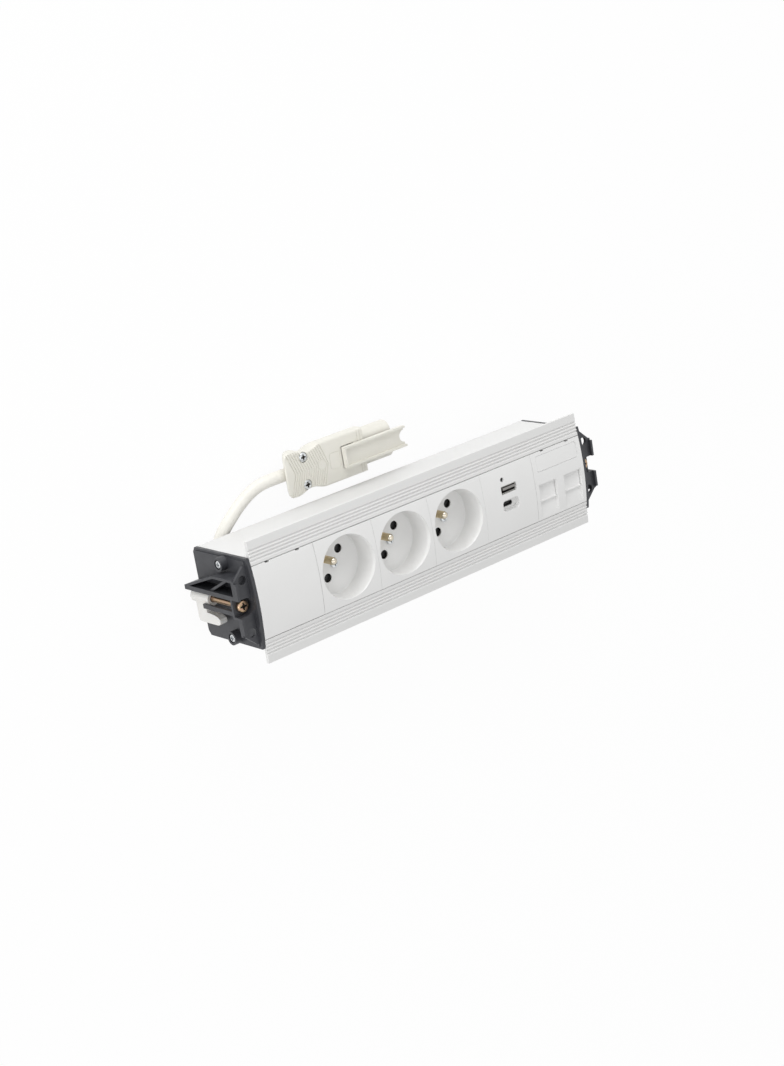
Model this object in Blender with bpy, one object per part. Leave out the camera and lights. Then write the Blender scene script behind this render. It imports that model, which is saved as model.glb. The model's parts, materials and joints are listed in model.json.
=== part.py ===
"""In-desk power module: an aluminium trough of six 45 mm modules with clamp
brackets at both ends and a short mains lead with its installation connector.

It lies face up on its two cable hoods. X runs along the row of modules,
Z points out of the front and the floor is z = 0.
"""

import math

import bmesh
import bpy
from mathutils import Vector

MM = 0.001

# Gap that touching pieces keep, and gap round a piece that turns or slides
CLEAR = 0.3 * MM
OVERLAP = 0.5 * MM

# Row of modules
MODULE = 45.0 * MM
MODULE_COUNT = 6
PLATE_JOINT = 0.4 * MM
PLATE_SETBACK = 5.4 * MM
PLATE_THICK = 2.4 * MM
CROWN = 1.6 * MM
CROWN_STEPS = 8

# Aluminium trough
HOOD_HEIGHT = 10.3 * MM
TROUGH_DEPTH = 55.1 * MM
TROUGH_HALF = 28.0 * MM
TROUGH_WALL = 1.6 * MM
TROUGH_FLOOR = 2.0 * MM
CORNER_WIDE = 3.0 * MM
CORNER_HIGH = 2.0 * MM
FLANGE_OVERHANG = 9.65 * MM
FLANGE_THICK = 2.0 * MM
FLANGE_FALL = 1.0 * MM
FLANGE_EDGE = 0.8 * MM
LIP_THICK = 2.4 * MM
RIB_COUNT = 4
RIB_FROM_OPENING = 2.65 * MM
RIB_PITCH = 2.03 * MM
RIB_WIDE = 0.9 * MM
RIB_DEEP = 0.6 * MM
SCREW_PORT_SETBACK = 5.0 * MM
SCREW_PORT_DROP = 23.1 * MM
SCREW_PORT_SIZE = 6.8 * MM
SCREW_PORT_DEEP = 4.0 * MM

# End bracket, one moulding
CAP_THICK = 2.0 * MM
BRACKET_REACH = 10.5 * MM
WEB_DROP = 2.6 * MM
WEB_THICK = 2.0 * MM
WEB_ROOT_HALF = 24.0 * MM
WEB_TIP_HALF = 17.4 * MM
WEB_TIP_REACH = 9.0 * MM
RIM_WALL = 1.6 * MM
RIM_RISE = 2.0 * MM
FIXING_HOLE_Y = 16.3 * MM
FIXING_HOLE_REACH = 4.0 * MM
FIXING_HOLE_RADIUS = 2.75 * MM
NOTCH_RADIUS = 5.3 * MM
NOTCH_WALL = 1.5 * MM
SEAT_DROP = 7.8 * MM
SEAT_THICK = 1.7 * MM
BAR_THICK = 1.7 * MM
BAR_WIDE = 2.8 * MM
BAR_BOTTOM = 39.1 * MM
SLOT_CENTRE = 1.4 * MM
SLOT_WIDE = 6.8 * MM
GUSSET_HALF = 17.6 * MM
GUSSET_SHOULDER = 24.1 * MM
GUSSET_BOTTOM = 55.3 * MM
GUSSET_WALL = 1.5 * MM
BOSS_RADIUS = 4.25 * MM
BOSS_HEIGHT = 5.5 * MM
CABLE_HOLE_RADIUS = 5.0 * MM
CABLE_HOLE_Y = -10.0 * MM
CABLE_HOLE_DROP = 33.0 * MM

# Clamp: screw, nut and claw
CLAMP_REACH = 4.7 * MM
CLAMP_SCREW_RADIUS = 2.0 * MM
CLAMP_HEAD_RADIUS = 3.75 * MM
CLAMP_HEAD_HIGH = 2.4 * MM
CLAMP_SCREW_LONG = 52.0 * MM
NUT_RADIUS = 3.5 * MM
NUT_HIGH = 2.6 * MM
CLAW_HUB_RADIUS = 3.8 * MM
CLAW_HUB_HIGH = 16.0 * MM
CLAW_REACH = 15.0 * MM
CLAW_WIDE = 5.0 * MM
CLAW_OFFSET = 1.2 * MM
CLAW_ARM_HIGH = 12.0 * MM
CLAW_TOOTH_HIGH = 26.0 * MM

# Small fastening screws
SCREW_HEAD_RADIUS = 2.6 * MM
SCREW_HEAD_HIGH = 1.8 * MM
SCREW_SHANK_RADIUS = 1.4 * MM
CAP_SCREW_LONG = 12.0 * MM
SOCKET_SCREW_LONG = 12.0 * MM

# Socket outlets with an earth pin
RECESS_RADIUS = 19.3 * MM
RECESS_WALL = 1.4 * MM
RECESS_DEEP = 14.3 * MM
RECESS_FLOOR = 2.0 * MM
RECESS_LEAD = 0.9 * MM
RECESS_FACETS = 36
PIN_ANGLE = math.radians(54.5)
PIN_SPREAD = 9.5 * MM
PIN_HOLE_RADIUS = 2.5 * MM
EARTH_SPREAD = 10.0 * MM
EARTH_RADIUS = 2.4 * MM
EARTH_BELOW_FACE = 0.2 * MM
SHUTTER_THICK = 1.8 * MM
SHUTTER_TRAVEL = 5.7 * MM
SHUTTER_LONG = 25.2 * MM
SHUTTER_LAP = 0.8 * MM
SHUTTER_SLOT = 6.0 * MM
SHUTTER_HEEL = 2.8 * MM
BASE_SETBACK = 3.0 * MM
BASE_HIGH = 26.0 * MM
CONTACT_RADIUS = 2.9 * MM
CONTACT_WALL = 0.45 * MM
CONTACT_LONG = 16.0 * MM

# Snap legs under every plate
LEG_HALF = 8.0 * MM
LEG_THICK = 1.8 * MM
LEG_LONG = 6.6 * MM
HOOK_REACH = 1.5 * MM
HOOK_HIGH = 2.2 * MM
LATCH_PITCH = 22.5 * MM
LATCH_WIDE = 3.0 * MM
LATCH_DEEP = 0.9 * MM

# Charging outlet
USB_A_CENTRE_Y = 7.25 * MM
USB_A_WIDE = 13.6 * MM
USB_A_HIGH = 5.5 * MM
USB_A_SKIN = 0.5 * MM
USB_A_TONGUE_WIDE = 11.0 * MM
USB_A_TONGUE_HIGH = 1.7 * MM
USB_C_CENTRE_Y = -3.25 * MM
USB_C_WELL_WIDE = 14.0 * MM
USB_C_WELL_HIGH = 7.5 * MM
USB_C_WELL_RADIUS = 2.5 * MM
USB_C_WELL_DEEP = 4.0 * MM
USB_C_WIDE = 8.9 * MM
USB_C_HIGH = 3.2 * MM
USB_C_SKIN = 0.35 * MM
USB_C_TONGUE_WIDE = 6.0 * MM
USB_C_TONGUE_HIGH = 0.7 * MM
PORT_DEEP = 13.5 * MM
PORT_BLOCK_WALL = 2.0 * MM
STATUS_HOLE_X = -4.5 * MM
STATUS_HOLE_Y = 14.2 * MM
STATUS_HOLE_RADIUS = 1.4 * MM
CHARGER_HALF = 19.5 * MM
CHARGER_HIGH = 22.0 * MM

# Data outlet
JACK_SPREAD = 11.4 * MM
TRACK_WIDE = 16.0 * MM
WINDOW_TOP = 1.3 * MM
WINDOW_BOTTOM = -11.3 * MM
TRACK_FLOOR_DROP = 2.1 * MM
TRACK_FLOOR_THICK = 1.8 * MM
THUMB_RAMP_DROP = 1.2 * MM
THUMB_RAMP_BOTTOM = -21.0 * MM
DUST_SHUTTER_HIGH = 12.0 * MM
DUST_SHUTTER_THICK = 1.2 * MM
DUST_SHUTTER_GRIP = 0.8 * MM
DUST_SHUTTER_TRAVEL = 10.0 * MM
JACK_MOUTH_WIDE = 12.0 * MM
JACK_MOUTH_HIGH = 8.2 * MM
JACK_MOUTH_DROP = 3.0 * MM
JACK_WALL = 1.8 * MM
JACK_DEEP = 14.0 * MM
LABEL_WIDE = 37.2 * MM
LABEL_FROM_EDGE = 2.6 * MM
LABEL_TALL = 10.5 * MM
LABEL_RADIUS = 2.5 * MM
LABEL_THICK = 0.5 * MM

# Cable hoods under the trough
MAINS_HOOD_X = -118.6 * MM
HOOD_WIDE = 26.0 * MM
HOOD_SETBACK = 1.0 * MM
MAINS_HOOD_FRONT = -18.0 * MM
HOOD_ROUND = 2.0 * MM
HOOD_HOLE_RADIUS = 3.0 * MM
KNOCKOUT_RADIUS = 3.5 * MM
KNOCKOUT_DEEP = 1.0 * MM
KNOCKOUT_Y = 14.0 * MM

# Mains lead
CORD_RADIUS = 4.0 * MM
CORD_POINT_PITCH = 9.0 * MM
RELIEF_LONG = 20.0 * MM
RELIEF_ROOT_RADIUS = 4.8 * MM
RELIEF_TIP_RADIUS = 4.3 * MM

# Hand-chosen route of the lead in millimetres: out of the strain relief under
# the trough, round to the connector and into its cord end
CORD_ROUTE = (
    (-118.6, 2.6, 4.9), (-118.6, 5.0, 4.9), (-117.8, 12.4, 4.4), (-115.3, 19.5, 4.2),
    (-111.3, 25.8, 4.2), (-106.8, 30.3, 4.2), (-100.8, 35.2, 4.2), (-94.3, 39.9, 4.2),
    (-87.3, 44.0, 4.5), (-81.3, 46.8, 5.4), (-75.0, 48.5, 7.0), (-68.5, 49.0, 8.0),
    (-65.8, 49.0, 8.0),
)

# Installation connector on the lead, measured from its cord end
CONNECTOR_X = -65.5 * MM
CONNECTOR_Y = 49.0 * MM
SHELL_LONG = 64.0 * MM
SHELL_HALF = 14.25 * MM
SHELL_THICK = 16.0 * MM
SHELL_EDGE = 1.4 * MM
SHELL_REAR_ROUND = 4.0 * MM
WAIST_AT = 19.0 * MM
WAIST_SPAN = 11.5 * MM
WAIST_DIP = 2.6 * MM
GROOVE_COUNT = 15
GROOVE_FIRST = 7.9 * MM
GROOVE_PITCH = 1.85 * MM
GROOVE_WIDE = 0.75 * MM
GROOVE_DEEP = 0.4 * MM
GROOVE_LEAN = 5.4 * MM
SHELL_SCREW_X = 15.7 * MM
SHELL_SCREW_Y = 8.8 * MM
NOSE_LONG = 23.0 * MM
NOSE_HALF = 12.0 * MM
NOSE_HIGH = 13.0 * MM
NOSE_WALL = 1.6 * MM
NOSE_WELL = 18.0 * MM
TENON_LONG = 6.0 * MM
TENON_STEP = 1.0 * MM
PIN_COUNT = 3
PIN_PITCH = 7.0 * MM
PIN_RADIUS = 1.5 * MM
PIN_FROM_TIP = 5.0 * MM
LEVER_START = 45.0 * MM
LEVER_LONG = 50.0 * MM
LEVER_HALF = 6.75 * MM
LEVER_FLOOR = 1.4 * MM
LEVER_RIM = 1.3 * MM
LEVER_HIGH = 3.3 * MM
LEVER_LIFT = 0.5 * MM
LEVER_NOTCH = 4.0 * MM
LEVER_FOOT_AT = 58.0 * MM
LEVER_FOOT_LONG = 3.0 * MM
LEVER_FOOT_DEEP = 1.5 * MM
LEVER_POCKET = 2.0 * MM

# Values that follow from those above
PLATE_HALF = TROUGH_HALF - PLATE_SETBACK
SCREW_PORT_Y = TROUGH_HALF - SCREW_PORT_SETBACK
FLANGE_HALF = TROUGH_HALF + FLANGE_OVERHANG
HOOD_EDGE = TROUGH_HALF - HOOD_SETBACK
BASE_HALF = MODULE / 2 - BASE_SETBACK
BACK_Z = HOOD_HEIGHT + CLEAR
EDGE_Z = BACK_Z + TROUGH_DEPTH
ROW_HALF = MODULE * MODULE_COUNT / 2
OPENING_HALF = PLATE_HALF + 0.35 * MM
RIB_FIRST = OPENING_HALF + RIB_FROM_OPENING
LIP_BOTTOM = EDGE_Z - LIP_THICK
FLANGE_TOP = EDGE_Z - FLANGE_FALL
FLANGE_BOTTOM = FLANGE_TOP - FLANGE_THICK
CAP_INNER = ROW_HALF + CLEAR
CAP_OUTER = CAP_INNER + CAP_THICK
WEB_TOP = EDGE_Z - WEB_DROP
WEB_BOTTOM = WEB_TOP - WEB_THICK
SEAT_TOP = EDGE_Z - SEAT_DROP
SEAT_BOTTOM = SEAT_TOP - SEAT_THICK
SCREW_PORT_Z = EDGE_Z - SCREW_PORT_DROP
FLOOR_TOP = EDGE_Z - RECESS_DEEP
FLOOR_BOTTOM = FLOOR_TOP - RECESS_FLOOR
BASE_TOP = FLOOR_BOTTOM - CLEAR
LABEL_HIGH = PLATE_HALF - LABEL_FROM_EDGE
LABEL_LOW = LABEL_HIGH - LABEL_TALL
SHELL_MIDDLE = SHELL_THICK / 2
NOSE_START = SHELL_LONG + CLEAR
HEAD_CLEAR = SCREW_HEAD_RADIUS + CLEAR
SHANK_CLEAR = SCREW_SHANK_RADIUS + CLEAR

# Finishes: colour, roughness, metallic
FINISHES = {
    "white_plate_plastic": ((0.68, 0.67, 0.64), 0.35, 0.0),
    "white_coated_aluminium": ((0.74, 0.73, 0.70), 0.45, 0.0),
    "black_glass_nylon": ((0.055, 0.055, 0.06), 0.55, 0.0),
    "white_nylon": ((0.80, 0.79, 0.75), 0.45, 0.0),
    "yellow_zinc_steel": ((0.62, 0.42, 0.22), 0.35, 1.0),
    "bright_zinc_steel": ((0.70, 0.74, 0.78), 0.30, 1.0),
    "nickel_brass": ((0.75, 0.72, 0.66), 0.25, 1.0),
    "grey_inner_plastic": ((0.32, 0.32, 0.33), 0.50, 0.0),
    "black_port_plastic": ((0.03, 0.03, 0.03), 0.40, 0.0),
    "clear_window_plastic": ((0.72, 0.71, 0.68), 0.15, 0.0),
    "cream_connector_plastic": ((0.73, 0.71, 0.65), 0.45, 0.0),
    "cream_cord_jacket": ((0.76, 0.74, 0.68), 0.50, 0.0),
}


def clear_scene():
    for item in list(bpy.data.objects):
        bpy.data.objects.remove(item, do_unlink=True)


def finish_material(slot):
    material = bpy.data.materials.get(slot)
    if material:
        return material
    colour, roughness, metallic = FINISHES[slot]
    material = bpy.data.materials.new(slot)
    material.use_nodes = True
    shader = material.node_tree.nodes["Principled BSDF"]
    shader.inputs["Base Color"].default_value = (*colour, 1.0)
    shader.inputs["Roughness"].default_value = roughness
    shader.inputs["Metallic"].default_value = metallic
    return material


def place(name, mesh_data, slot=None, centre=(0, 0, 0)):
    """Makes an object; the mesh is written in world coordinates and
    re-centred on centre, which becomes the object's origin."""
    bmesh.ops.recalc_face_normals(mesh_data, faces=mesh_data.faces)
    bmesh.ops.translate(mesh_data, vec=-Vector(centre), verts=mesh_data.verts)
    mesh = bpy.data.meshes.new(name)
    mesh_data.to_mesh(mesh)
    mesh_data.free()
    mesh.shade_smooth()
    mesh.set_sharp_from_angle(angle=math.radians(35))
    item = bpy.data.objects.new(name, mesh)
    item.location = centre
    bpy.context.collection.objects.link(item)
    if slot:
        mesh.materials.append(finish_material(slot))
    return item


def shape_tool(item, tool, operation):
    """Adds a Boolean to item, with the tool mesh as a hidden guide."""
    guide = place(item.name + ".guide", tool)
    guide.hide_render = True
    guide.display_type = "WIRE"
    guide.parent = item
    guide.matrix_parent_inverse = item.matrix_basis.inverted()
    boolean = item.modifiers.new(operation.lower(), "BOOLEAN")
    boolean.operation = operation
    boolean.solver = "EXACT"
    boolean.object = guide


def cut(item, *tools):
    for tool in tools:
        shape_tool(item, tool, "DIFFERENCE")


def add(item, *tools):
    for tool in tools:
        shape_tool(item, tool, "UNION")


def loft(*rings):
    """One closed body through rings of equal count, capped at both ends."""
    data = bmesh.new()
    loops = [[data.verts.new(point) for point in ring] for ring in rings]
    for low, high in zip(loops, loops[1:]):
        for index in range(len(low)):
            after = (index + 1) % len(low)
            data.faces.new((low[index], low[after], high[after], high[index]))
    data.faces.new(loops[0])
    data.faces.new(loops[-1])
    bmesh.ops.recalc_face_normals(data, faces=data.faces)
    return data


def on_axis(axis, across, up, along):
    if axis == "X":
        return (along, across, up)
    if axis == "Y":
        return (across, along, up)
    return (across, up, along)


def prism(outline, axis, low, high):
    """An outline pushed from low to high; it is (y, z) along X, (x, z)
    along Y and (x, y) along Z."""
    return loft(*[[on_axis(axis, a, b, end) for a, b in outline] for end in (low, high)])


def box(x, y, z):
    return prism([(x[0], y[0]), (x[1], y[0]), (x[1], y[1]), (x[0], y[1])], "Z", z[0], z[1])


def circle(centre, radius, count=18):
    turns = [2 * math.pi * (step + 0.5) / count for step in range(count)]
    return [(centre[0] + radius * math.cos(t), centre[1] + radius * math.sin(t)) for t in turns]


def rod(centre, radius, axis, low, high, count=18):
    return prism(circle(centre, radius, count), axis, low, high)


def turned(centre, profile, count=32):
    """A solid of revolution about a vertical line; profile is (radius, z)."""
    rings = [[(x, y, z) for x, y in circle(centre, radius, count)] for radius, z in profile]
    return loft(*rings)


def rounded(centre, wide, high, radius, steps=4):
    """Rectangle with round corners, as a list of (a, b) points."""
    points = []
    for corner, (side, top) in enumerate(((1, 1), (-1, 1), (-1, -1), (1, -1))):
        a = centre[0] + side * (wide / 2 - radius)
        b = centre[1] + top * (high / 2 - radius)
        for step in range(steps + 1):
            turn = math.pi / 2 * (corner + step / steps)
            points.append((a + radius * math.cos(turn), b + radius * math.sin(turn)))
    return points


def inset(outline, walls):
    """Moves each edge of an anticlockwise convex outline inwards by its wall."""
    lines = []
    for index, (a, b) in enumerate(outline):
        c, d = outline[(index + 1) % len(outline)]
        length = math.hypot(c - a, d - b)
        inward = (-(d - b) / length, (c - a) / length)
        wall = walls[index]
        lines.append(((a + inward[0] * wall, b + inward[1] * wall), (c - a, d - b)))
    points = []
    for index, ((a, b), (dx, dy)) in enumerate(lines):
        (c, d), (ex, ey) = lines[index - 1]
        step = ((a - c) * dy - (b - d) * dx) / (ex * dy - ey * dx)
        points.append((c + ex * step, d + ey * step))
    return points


def crown_height(y):
    """Height of the crowned front over the line where the plates meet the lips."""
    return EDGE_Z + CROWN * (1 - (y / PLATE_HALF) ** 2)


def crown_line(low, high, drop=0.0, steps=CROWN_STEPS):
    width = high - low
    ys = [low + width * step / steps for step in range(steps + 1)]
    return [(y, crown_height(y) - drop) for y in ys]


def trough_outline():
    """Section of the trough in (y, z): right half, then the left half mirrored."""
    right = [(OPENING_HALF, EDGE_Z)]
    for rib in range(RIB_COUNT):
        y = RIB_FIRST + rib * RIB_PITCH
        z = EDGE_Z - FLANGE_FALL * (y - OPENING_HALF) / (FLANGE_HALF - OPENING_HALF)
        right += [(y - RIB_WIDE / 2, z), (y - RIB_WIDE / 4, z - RIB_DEEP)]
        right += [(y + RIB_WIDE / 4, z - RIB_DEEP), (y + RIB_WIDE / 2, z)]
    right += [(FLANGE_HALF - FLANGE_EDGE, FLANGE_TOP), (FLANGE_HALF, FLANGE_TOP - FLANGE_EDGE)]
    right += [(FLANGE_HALF, FLANGE_BOTTOM + FLANGE_EDGE / 2)]
    right += [(FLANGE_HALF - FLANGE_EDGE / 2, FLANGE_BOTTOM), (TROUGH_HALF, FLANGE_BOTTOM)]
    right += [(TROUGH_HALF, BACK_Z + CORNER_HIGH), (TROUGH_HALF - CORNER_WIDE, BACK_Z)]
    wall = TROUGH_HALF - TROUGH_WALL
    port_low = SCREW_PORT_Z - SCREW_PORT_SIZE / 2
    port_high = SCREW_PORT_Z + SCREW_PORT_SIZE / 2
    slot = SCREW_SHANK_RADIUS + CLEAR
    slot_end = SCREW_PORT_Y + SCREW_SHANK_RADIUS + CLEAR
    port_mouth = slot_end - SCREW_PORT_DEEP
    inner = [(TROUGH_HALF - CORNER_WIDE, BACK_Z + TROUGH_FLOOR)]
    inner += [(wall, BACK_Z + TROUGH_FLOOR + CORNER_HIGH / 2), (wall, port_low)]
    inner += [(port_mouth, port_low), (port_mouth, SCREW_PORT_Z - slot)]
    inner += [(slot_end, SCREW_PORT_Z - slot), (slot_end, SCREW_PORT_Z + slot)]
    inner += [(port_mouth, SCREW_PORT_Z + slot), (port_mouth, port_high), (wall, port_high)]
    inner += [(wall, LIP_BOTTOM), (OPENING_HALF, LIP_BOTTOM)]
    outer_left = [(-y, z) for y, z in reversed(right)]
    inner_left = [(-y, z) for y, z in reversed(inner)]
    return right + outer_left + inner_left + inner


def hood_hole_centre(side):
    return (side * MAINS_HOOD_X, side * (MAINS_HOOD_FRONT - HOOD_HOLE_RADIUS - 3 * CLEAR))


def build_trough():
    trough = place("housing_profile", prism(trough_outline(), "X", -ROW_HALF, ROW_HALF),
                   "white_coated_aluminium")
    for side in (1, -1):
        hole = rod(hood_hole_centre(side), HOOD_HOLE_RADIUS, "Z",
                   BACK_Z - OVERLAP, BACK_Z + TROUGH_FLOOR + OVERLAP)
        cut(trough, hole)


def cap_outline():
    """Outer outline of the end cap in (y, z), its top following the crown."""
    top = crown_line(-TROUGH_HALF, TROUGH_HALF, drop=CLEAR)
    low = [(TROUGH_HALF, BACK_Z + CORNER_HIGH), (TROUGH_HALF - CORNER_WIDE, BACK_Z)]
    low += [(-y, z) for y, z in reversed(low)]
    return top + low


def gusset_outline():
    """Side view of the cored gusset in (y, z), anticlockwise."""
    inner_y = SLOT_CENTRE + SLOT_WIDE / 2
    bottom = EDGE_Z - GUSSET_BOTTOM
    shoulder = EDGE_Z - GUSSET_SHOULDER
    return [(inner_y, bottom), (inner_y + BAR_WIDE, bottom), (GUSSET_HALF, shoulder),
            (GUSSET_HALF, WEB_BOTTOM + OVERLAP), (inner_y, WEB_BOTTOM + OVERLAP)]


def gusset_pocket():
    """The gusset's core: its outline without the blunt tip, inside the walls."""
    tip, band, shoulder, top, inner_top = gusset_outline()
    slope = (shoulder[1] - band[1]) / (shoulder[0] - band[0])
    sharp_tip = (tip[0], tip[1] - BAR_WIDE * slope)
    return inset([sharp_tip, shoulder, top, inner_top],
                 [GUSSET_WALL, GUSSET_WALL, GUSSET_WALL, BAR_WIDE])


def bracket_x(reach):
    """World x of a point that stands reach outside the left cap."""
    return -CAP_OUTER - reach


def build_bracket(name, turn):
    """Mould the bracket for the left end; the right one is turned half way."""
    inner = bracket_x(-CAP_THICK)
    outer = bracket_x(0)
    tip = bracket_x(BRACKET_REACH)
    bracket = place(name, prism(cap_outline(), "X", inner, outer), "black_glass_nylon",
                    centre=(outer, 0, EDGE_Z))
    web = [(-OVERLAP, -WEB_ROOT_HALF), (WEB_THICK, -WEB_ROOT_HALF), (WEB_TIP_REACH, -WEB_TIP_HALF),
           (BRACKET_REACH, -WEB_TIP_HALF + RIM_WALL / 4)]
    web += [(reach, -y) for reach, y in reversed(web)]
    web = [(bracket_x(reach), y) for reach, y in web]
    add(bracket, prism(web, "Z", WEB_BOTTOM, WEB_TOP))
    rim_half = WEB_TIP_HALF - RIM_WALL
    for side in (1, -1):
        low, high = sorted((side * NOTCH_RADIUS, side * rim_half))
        add(bracket, box((tip, bracket_x(BRACKET_REACH - RIM_WALL)), (low, high),
                         (WEB_BOTTOM + OVERLAP / 2, WEB_TOP + RIM_RISE)))
    notch_half = NOTCH_RADIUS + NOTCH_WALL
    add(bracket, box((tip + OVERLAP / 5, outer + OVERLAP), (-notch_half, notch_half),
                     (SEAT_BOTTOM, WEB_TOP - OVERLAP / 5)))
    bar_inner = bracket_x(BRACKET_REACH - BAR_THICK)
    bar_low = SLOT_CENTRE - SLOT_WIDE / 2 - BAR_WIDE
    bar_z = EDGE_Z - BAR_BOTTOM
    add(bracket, box((tip + OVERLAP / 4, bar_inner), (bar_low, bar_low + BAR_WIDE),
                     (bar_z, SEAT_BOTTOM + OVERLAP)))
    add(bracket, prism(gusset_outline(), "X", tip + OVERLAP / 3, outer + OVERLAP))
    pocket = gusset_pocket()
    cut(bracket, prism(pocket, "X", tip - OVERLAP, outer - OVERLAP))
    add(bracket, build_diagonal(pocket, outer, tip))
    for side in (1, -1):
        centre = (side * SCREW_PORT_Y, SCREW_PORT_Z)
        add(bracket, rod(centre, BOSS_RADIUS, "X", bracket_x(BOSS_HEIGHT), outer + OVERLAP))
        cut(bracket, rod(centre, HEAD_CLEAR, "X", bracket_x(BOSS_HEIGHT + OVERLAP),
                         bracket_x(BOSS_HEIGHT - SCREW_HEAD_HIGH - 2 * CLEAR)))
        cut(bracket, rod(centre, SHANK_CLEAR, "X", bracket_x(BOSS_HEIGHT), inner + OVERLAP, 12))
        hole = (bracket_x(FIXING_HOLE_REACH), side * FIXING_HOLE_Y)
        cut(bracket, rod(hole, FIXING_HOLE_RADIUS, "Z", WEB_BOTTOM - OVERLAP, WEB_TOP + OVERLAP))
    seat = (bracket_x(CLAMP_REACH), 0)
    recess = circle(seat, NOTCH_RADIUS)
    cut(bracket, prism(recess, "Z", SEAT_TOP, EDGE_Z))
    cut(bracket, box((tip - OVERLAP, seat[0]), (-NOTCH_RADIUS + OVERLAP / 9, NOTCH_RADIUS - OVERLAP / 9),
                     (SEAT_TOP + OVERLAP / 9, EDGE_Z)))
    cut(bracket, rod(seat, CLAMP_SCREW_RADIUS + CLEAR, "Z", SEAT_BOTTOM - OVERLAP, EDGE_Z))
    cut(bracket, rod((CABLE_HOLE_Y, EDGE_Z - CABLE_HOLE_DROP), CABLE_HOLE_RADIUS, "X",
                     outer - OVERLAP, inner + OVERLAP))
    if turn:
        bracket.rotation_euler.z = turn
        bracket.location.x = -bracket.location.x
    return bracket


def build_diagonal(pocket, outer, tip):
    """Diagonal rib across the cored gusset, corner to corner of its wide part."""
    low_y, low_z = pocket[0]
    shoulder_y, top_z = pocket[2]
    start = Vector((low_y - OVERLAP, low_z + (top_z - low_z) * 0.45))
    end = Vector((shoulder_y + OVERLAP, top_z - (top_z - low_z) * 0.12))
    side = (end - start).orthogonal().normalized() * (GUSSET_WALL / 2)
    outline = [tuple(point) for point in (start - side, end - side, end + side, start + side)]
    return prism(outline, "X", tip + GUSSET_WALL, outer + OVERLAP / 2)


def cross_recess(centre, radius, axis, top, depth):
    """A cross-head recess as two crossed bars."""
    arm = radius * 0.62
    thin = radius * 0.16
    a, b = centre
    plus = [(a - arm, b - thin), (a - thin, b - thin), (a - thin, b - arm), (a + thin, b - arm),
            (a + thin, b - thin), (a + arm, b - thin), (a + arm, b + thin), (a + thin, b + thin),
            (a + thin, b + arm), (a - thin, b + arm), (a - thin, b + thin), (a - arm, b + thin)]
    return prism(plus, axis, top - depth, top + depth)


def build_cap_screw(name, end, side):
    """Screw that holds a bracket on the trough, its head sunk in the boss."""
    seat = CAP_OUTER + BOSS_HEIGHT - SCREW_HEAD_HIGH - CLEAR
    centre = (side * SCREW_PORT_Y, SCREW_PORT_Z)
    head = rod(centre, SCREW_HEAD_RADIUS, "X", end * seat, end * (seat + SCREW_HEAD_HIGH), 20)
    screw = place(name, head, "bright_zinc_steel", centre=(end * seat, *centre))
    add(screw, rod(centre, SCREW_SHANK_RADIUS, "X", end * (seat - CAP_SCREW_LONG),
                   end * (seat + OVERLAP), 12))
    cut(screw, cross_recess(centre, SCREW_HEAD_RADIUS, "X", end * (seat + SCREW_HEAD_HIGH),
                            SCREW_HEAD_HIGH / 2))


def build_clamp(side_name, turn):
    """Clamp screw, its nut and the claw, for the left end and half turned."""
    axis = (bracket_x(CLAMP_REACH), 0.0)
    head_low = SEAT_TOP + CLEAR
    head_top = head_low + CLAMP_HEAD_HIGH
    screw_low = head_low - CLAMP_SCREW_LONG
    profile = [(CLAMP_SCREW_RADIUS - CLEAR, screw_low), (CLAMP_SCREW_RADIUS, screw_low + CLEAR * 2),
               (CLAMP_SCREW_RADIUS, head_low), (CLAMP_HEAD_RADIUS, head_low),
               (CLAMP_HEAD_RADIUS, head_top - CLEAR * 2), (CLAMP_HEAD_RADIUS - CLEAR * 2, head_top)]
    pivot = (*axis, head_low)
    screw = place("clamp_screw_" + side_name, turned(axis, profile, 18), "yellow_zinc_steel",
                  centre=pivot)
    cut(screw, cross_recess(axis, CLAMP_HEAD_RADIUS, "Z", head_top, CLAMP_HEAD_HIGH * 0.6))
    nut_low = screw_low + CLEAR * 2
    nut_top = nut_low + NUT_HIGH
    nut = place("clamp_nut_" + side_name, rod(axis, NUT_RADIUS, "Z", nut_low, nut_top, 16),
                "yellow_zinc_steel", centre=(*axis, nut_low))
    bore = CLAMP_SCREW_RADIUS + CLEAR
    cut(nut, rod(axis, bore, "Z", nut_low - OVERLAP, nut_top + OVERLAP, 16))
    claw = build_claw("clamp_claw_" + side_name, axis, nut_top + CLEAR, bore)
    if turn:
        for item in (screw, nut, claw):
            item.rotation_euler.z = turn
            item.location.x = -item.location.x


def build_claw(name, axis, low, bore):
    """Hub on the screw with a hooked arm that points along -Y when at rest."""
    claw = place(name, rod(axis, CLAW_HUB_RADIUS, "Z", low, low + CLAW_HUB_HIGH, 20),
                 "white_nylon", centre=(*axis, low))
    tip = -CLAW_REACH
    shoulder = low + CLAW_ARM_HIGH
    tooth = low + CLAW_TOOTH_HIGH
    bite = CLAW_REACH * 0.16
    arm = [(0, low + CLEAR / 2), (tip * 0.9, low + CLEAR / 2), (tip, low + bite),
           (tip, tooth - 3 * bite), (tip + bite, tooth), (tip + 2.2 * bite, tooth - 3 * bite),
           (tip + 2.9 * bite, shoulder), (0, shoulder)]
    middle = axis[0] - CLAW_OFFSET
    add(claw, prism(arm, "X", middle - CLAW_WIDE / 2, middle + CLAW_WIDE / 2))
    cut(claw, rod(axis, bore, "Z", low - OVERLAP, low + CLAW_HUB_HIGH + OVERLAP, 16))
    return claw


def plate_span(index):
    """Low and high x of a module's plate; module 0 is at the left."""
    low = -ROW_HALF + index * MODULE
    return low + PLATE_JOINT / 2, low + MODULE - PLATE_JOINT / 2


def module_centre(index):
    return -ROW_HALF + (index + 0.5) * MODULE


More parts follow.
